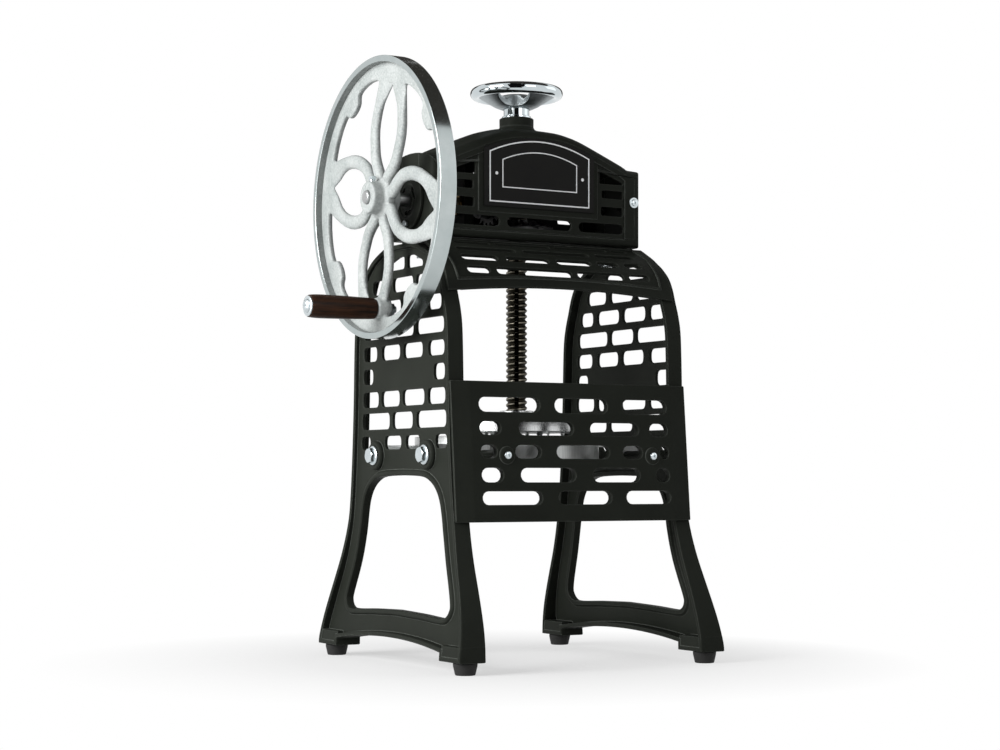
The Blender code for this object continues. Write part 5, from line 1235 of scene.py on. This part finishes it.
def crank_pin():
    head = [(0, -275.6), (2.6, -275.4), (5, -274.7), (7, -273.4), (8, -272), (4, -272), (4, -161),
            (0, -161)]
    pin = turned(soften(head, 0.25, 2), 48, "X", (0, 0, pin_z))
    return cut_away(pin, block((-280, -9, pin_z - 0.8), (-273.9, 9, pin_z + 0.8)))


make("wooden_grip", crank_grip(), [stained_wood()], "grip", "crank_grip")
make("grip_pin", crank_pin(), [zinc], "flywheel", "crank_pin")
grip_washer = turned(soften([(4.3, -269.9), (11.6, -269.9), (11.6, -271.2), (10.2, -271.9),
                             (4.3, -271.9)], 0.4), 56, "X", (0, 0, pin_z))
make("end_washer", grip_washer, [zinc], "flywheel", "grip_washer")
dress(zinc, "crank_pin_nut")


# Feed spindle and press plate
# The spindle is dark oiled steel with a coarse round thread and a keyway along its front.
# The press plate on its end is turned iron with spikes that bite the ice.

def spindle_steel():
    """Dark oiled steel, brassy where the thread's crests are rubbed bright."""
    finish = Finish("spindle_steel", {"Metallic": 1})
    here = finish.place((spindle_x, 0, 0))
    x, y, _ = finish.parts(here)
    crest = finish.ramp((x * x + y * y) ** 0.5 * 80, (0.972, 0), (0.999, 1))
    fine = finish.noise(here, 700, 3)
    metal = finish.blend(finish.noise(here, 70, 4), (0.10, 0.075, 0.038), (0.34, 0.33, 0.29))
    return finish.finished(finish.blend(crest, (0.035, 0.031, 0.022), metal),
                           0.42 - crest * 0.18 + fine * 0.08, fine, 0.25, 0.0001)


def feed_spindle():
    """A round thread wound up the bar, closed at both ends, then cut by the keyway."""
    pitch, steps, low, high = 6.75, 48, 262, 646
    shape = bmesh.new()
    section = [(12.5, 0), (12.4, 0.8), (11.8, 1.5), (10.7, 2.3), (10.3, 3.375), (10.7, 4.45),
               (11.8, 5.25), (12.4, 5.95), (12.5, 6.75)]
    verts = [shape.verts.new((radius, 0, low + height)) for radius, height in section]
    edges = [shape.edges.new(ends) for ends in zip(verts, verts[1:])]
    winds = int((high - low) / pitch)
    bmesh.ops.spin(shape, geom=verts + edges, cent=(0, 0, 0), axis=(0, 0, 1),
                   dvec=(0, 0, pitch / steps), angle=math.tau * winds, steps=steps * winds)
    bmesh.ops.remove_doubles(shape, verts=shape.verts, dist=0.01)
    for level, up in ((268, -1), (640, 1)):
        geometry = shape.verts[:] + shape.edges[:] + shape.faces[:]
        bmesh.ops.bisect_plane(shape, geom=geometry, plane_co=(0, 0, level), plane_no=(0, 0, up),
                               clear_outer=True)
        rim = [e for e in shape.edges if e.is_boundary
               and all(abs(v.co.z - level) < 0.05 for v in e.verts)]
        bmesh.ops.edgeloop_fill(shape, edges=rim)
    bmesh.ops.recalc_face_normals(shape, faces=shape.faces)
    keyway = block((-2.5, -20, 296), (2.5, -9.5, 650))
    return cut_away(shape, spun(keyway, math.radians(-30)))


def press_plate():
    disc = turned(soften([(0, 266.3), (75, 266.3), (75, 279), (20.5, 279), (20, 292), (12.8, 292),
                          (12.8, 267.7), (0, 267.7)], 0.9), 128)
    places = [(66, 3 + i * 45) for i in range(8)] + [(39, 17 + i * 90) for i in range(4)]
    spike = ((0, 261.3), (0.5, 261.5), (2.6, 265.5), (2.6, 267.3), (0, 267.3))
    spikes = [turned(spike, 20, "Z", (*polar(*place), 0)) for place in places]
    return together(disc, *spikes)


make("threaded_spindle", feed_spindle(), [spindle_steel()], "spindle", "feed_spindle")
plate_metal = turned_bright("press_plate_metal", (spindle_x, 0, 0.27), (0.90, 0.92, 0.92), 0.12)
make("spiked_plate", press_plate(), [plate_metal], "spindle", "press_plate")


# Feed nut and handwheel
# A chromed nut sleeve turns in the top boss. The chromed handwheel on it is a round rim on a
# dished hub, with three openings that leave three short spokes.

def chrome_plate(name, tone, rough):
    finish = Finish(name, {"Metallic": 1})
    haze = finish.noise(finish.place(), 40, 3)
    wipe = finish.noise(finish.place(scale=(1, 1, 6)), 300, 2)
    colour = finish.blend(haze, shaded((0.50, 0.56, 0.58), tone), shaded((0.62, 0.67, 0.69), tone))
    return finish.finished(colour, rough + haze * 0.05, wipe, 0.05, 0.00005)


chrome = chrome_plate("chrome_plate", 1, 0.03)
dull_chrome = chrome_plate("dull_chrome", 0.72, 0.4)


def feed_nut():
    return turned(soften([(12.9, 596.7), (15, 596.7), (15, 636.3), (17, 636.3), (17, 638.8),
                          (15, 638.8), (15, 661), (12.9, 661)], 0.5), 96)


def handwheel():
    """The dish is spun and pierced, then fused with its spokes' roots and smoothed."""
    dish = turned([(15.3, 647.3), (19, 647.6), (25, 649.6), (34, 654.4), (42, 659.8), (47.5, 663.2),
                   (46, 668.5), (40, 664.8), (32, 660.2), (24, 656.6), (20.5, 661.6), (17, 663),
                   (15.3, 663)], 120)
    holes = [turned(rectangle(0, 18.2, 630, 690), 64, "Z", (*polar(38, 115 + 120 * i), 0))
             for i in range(3)]
    dish = fused(cut_away(dish, *holes), 0.7, 12)
    for face in dish.faces:
        face.material_index = 1
    return together(dish, turned(round_outline(48, 665.5, 6.5, 40), 144))


make("nut_sleeve", feed_nut(), [chrome], "handwheel", "feed_nut")
make("plated_wheel", handwheel(), [chrome, dull_chrome], "handwheel", "handwheel", sharp=60)
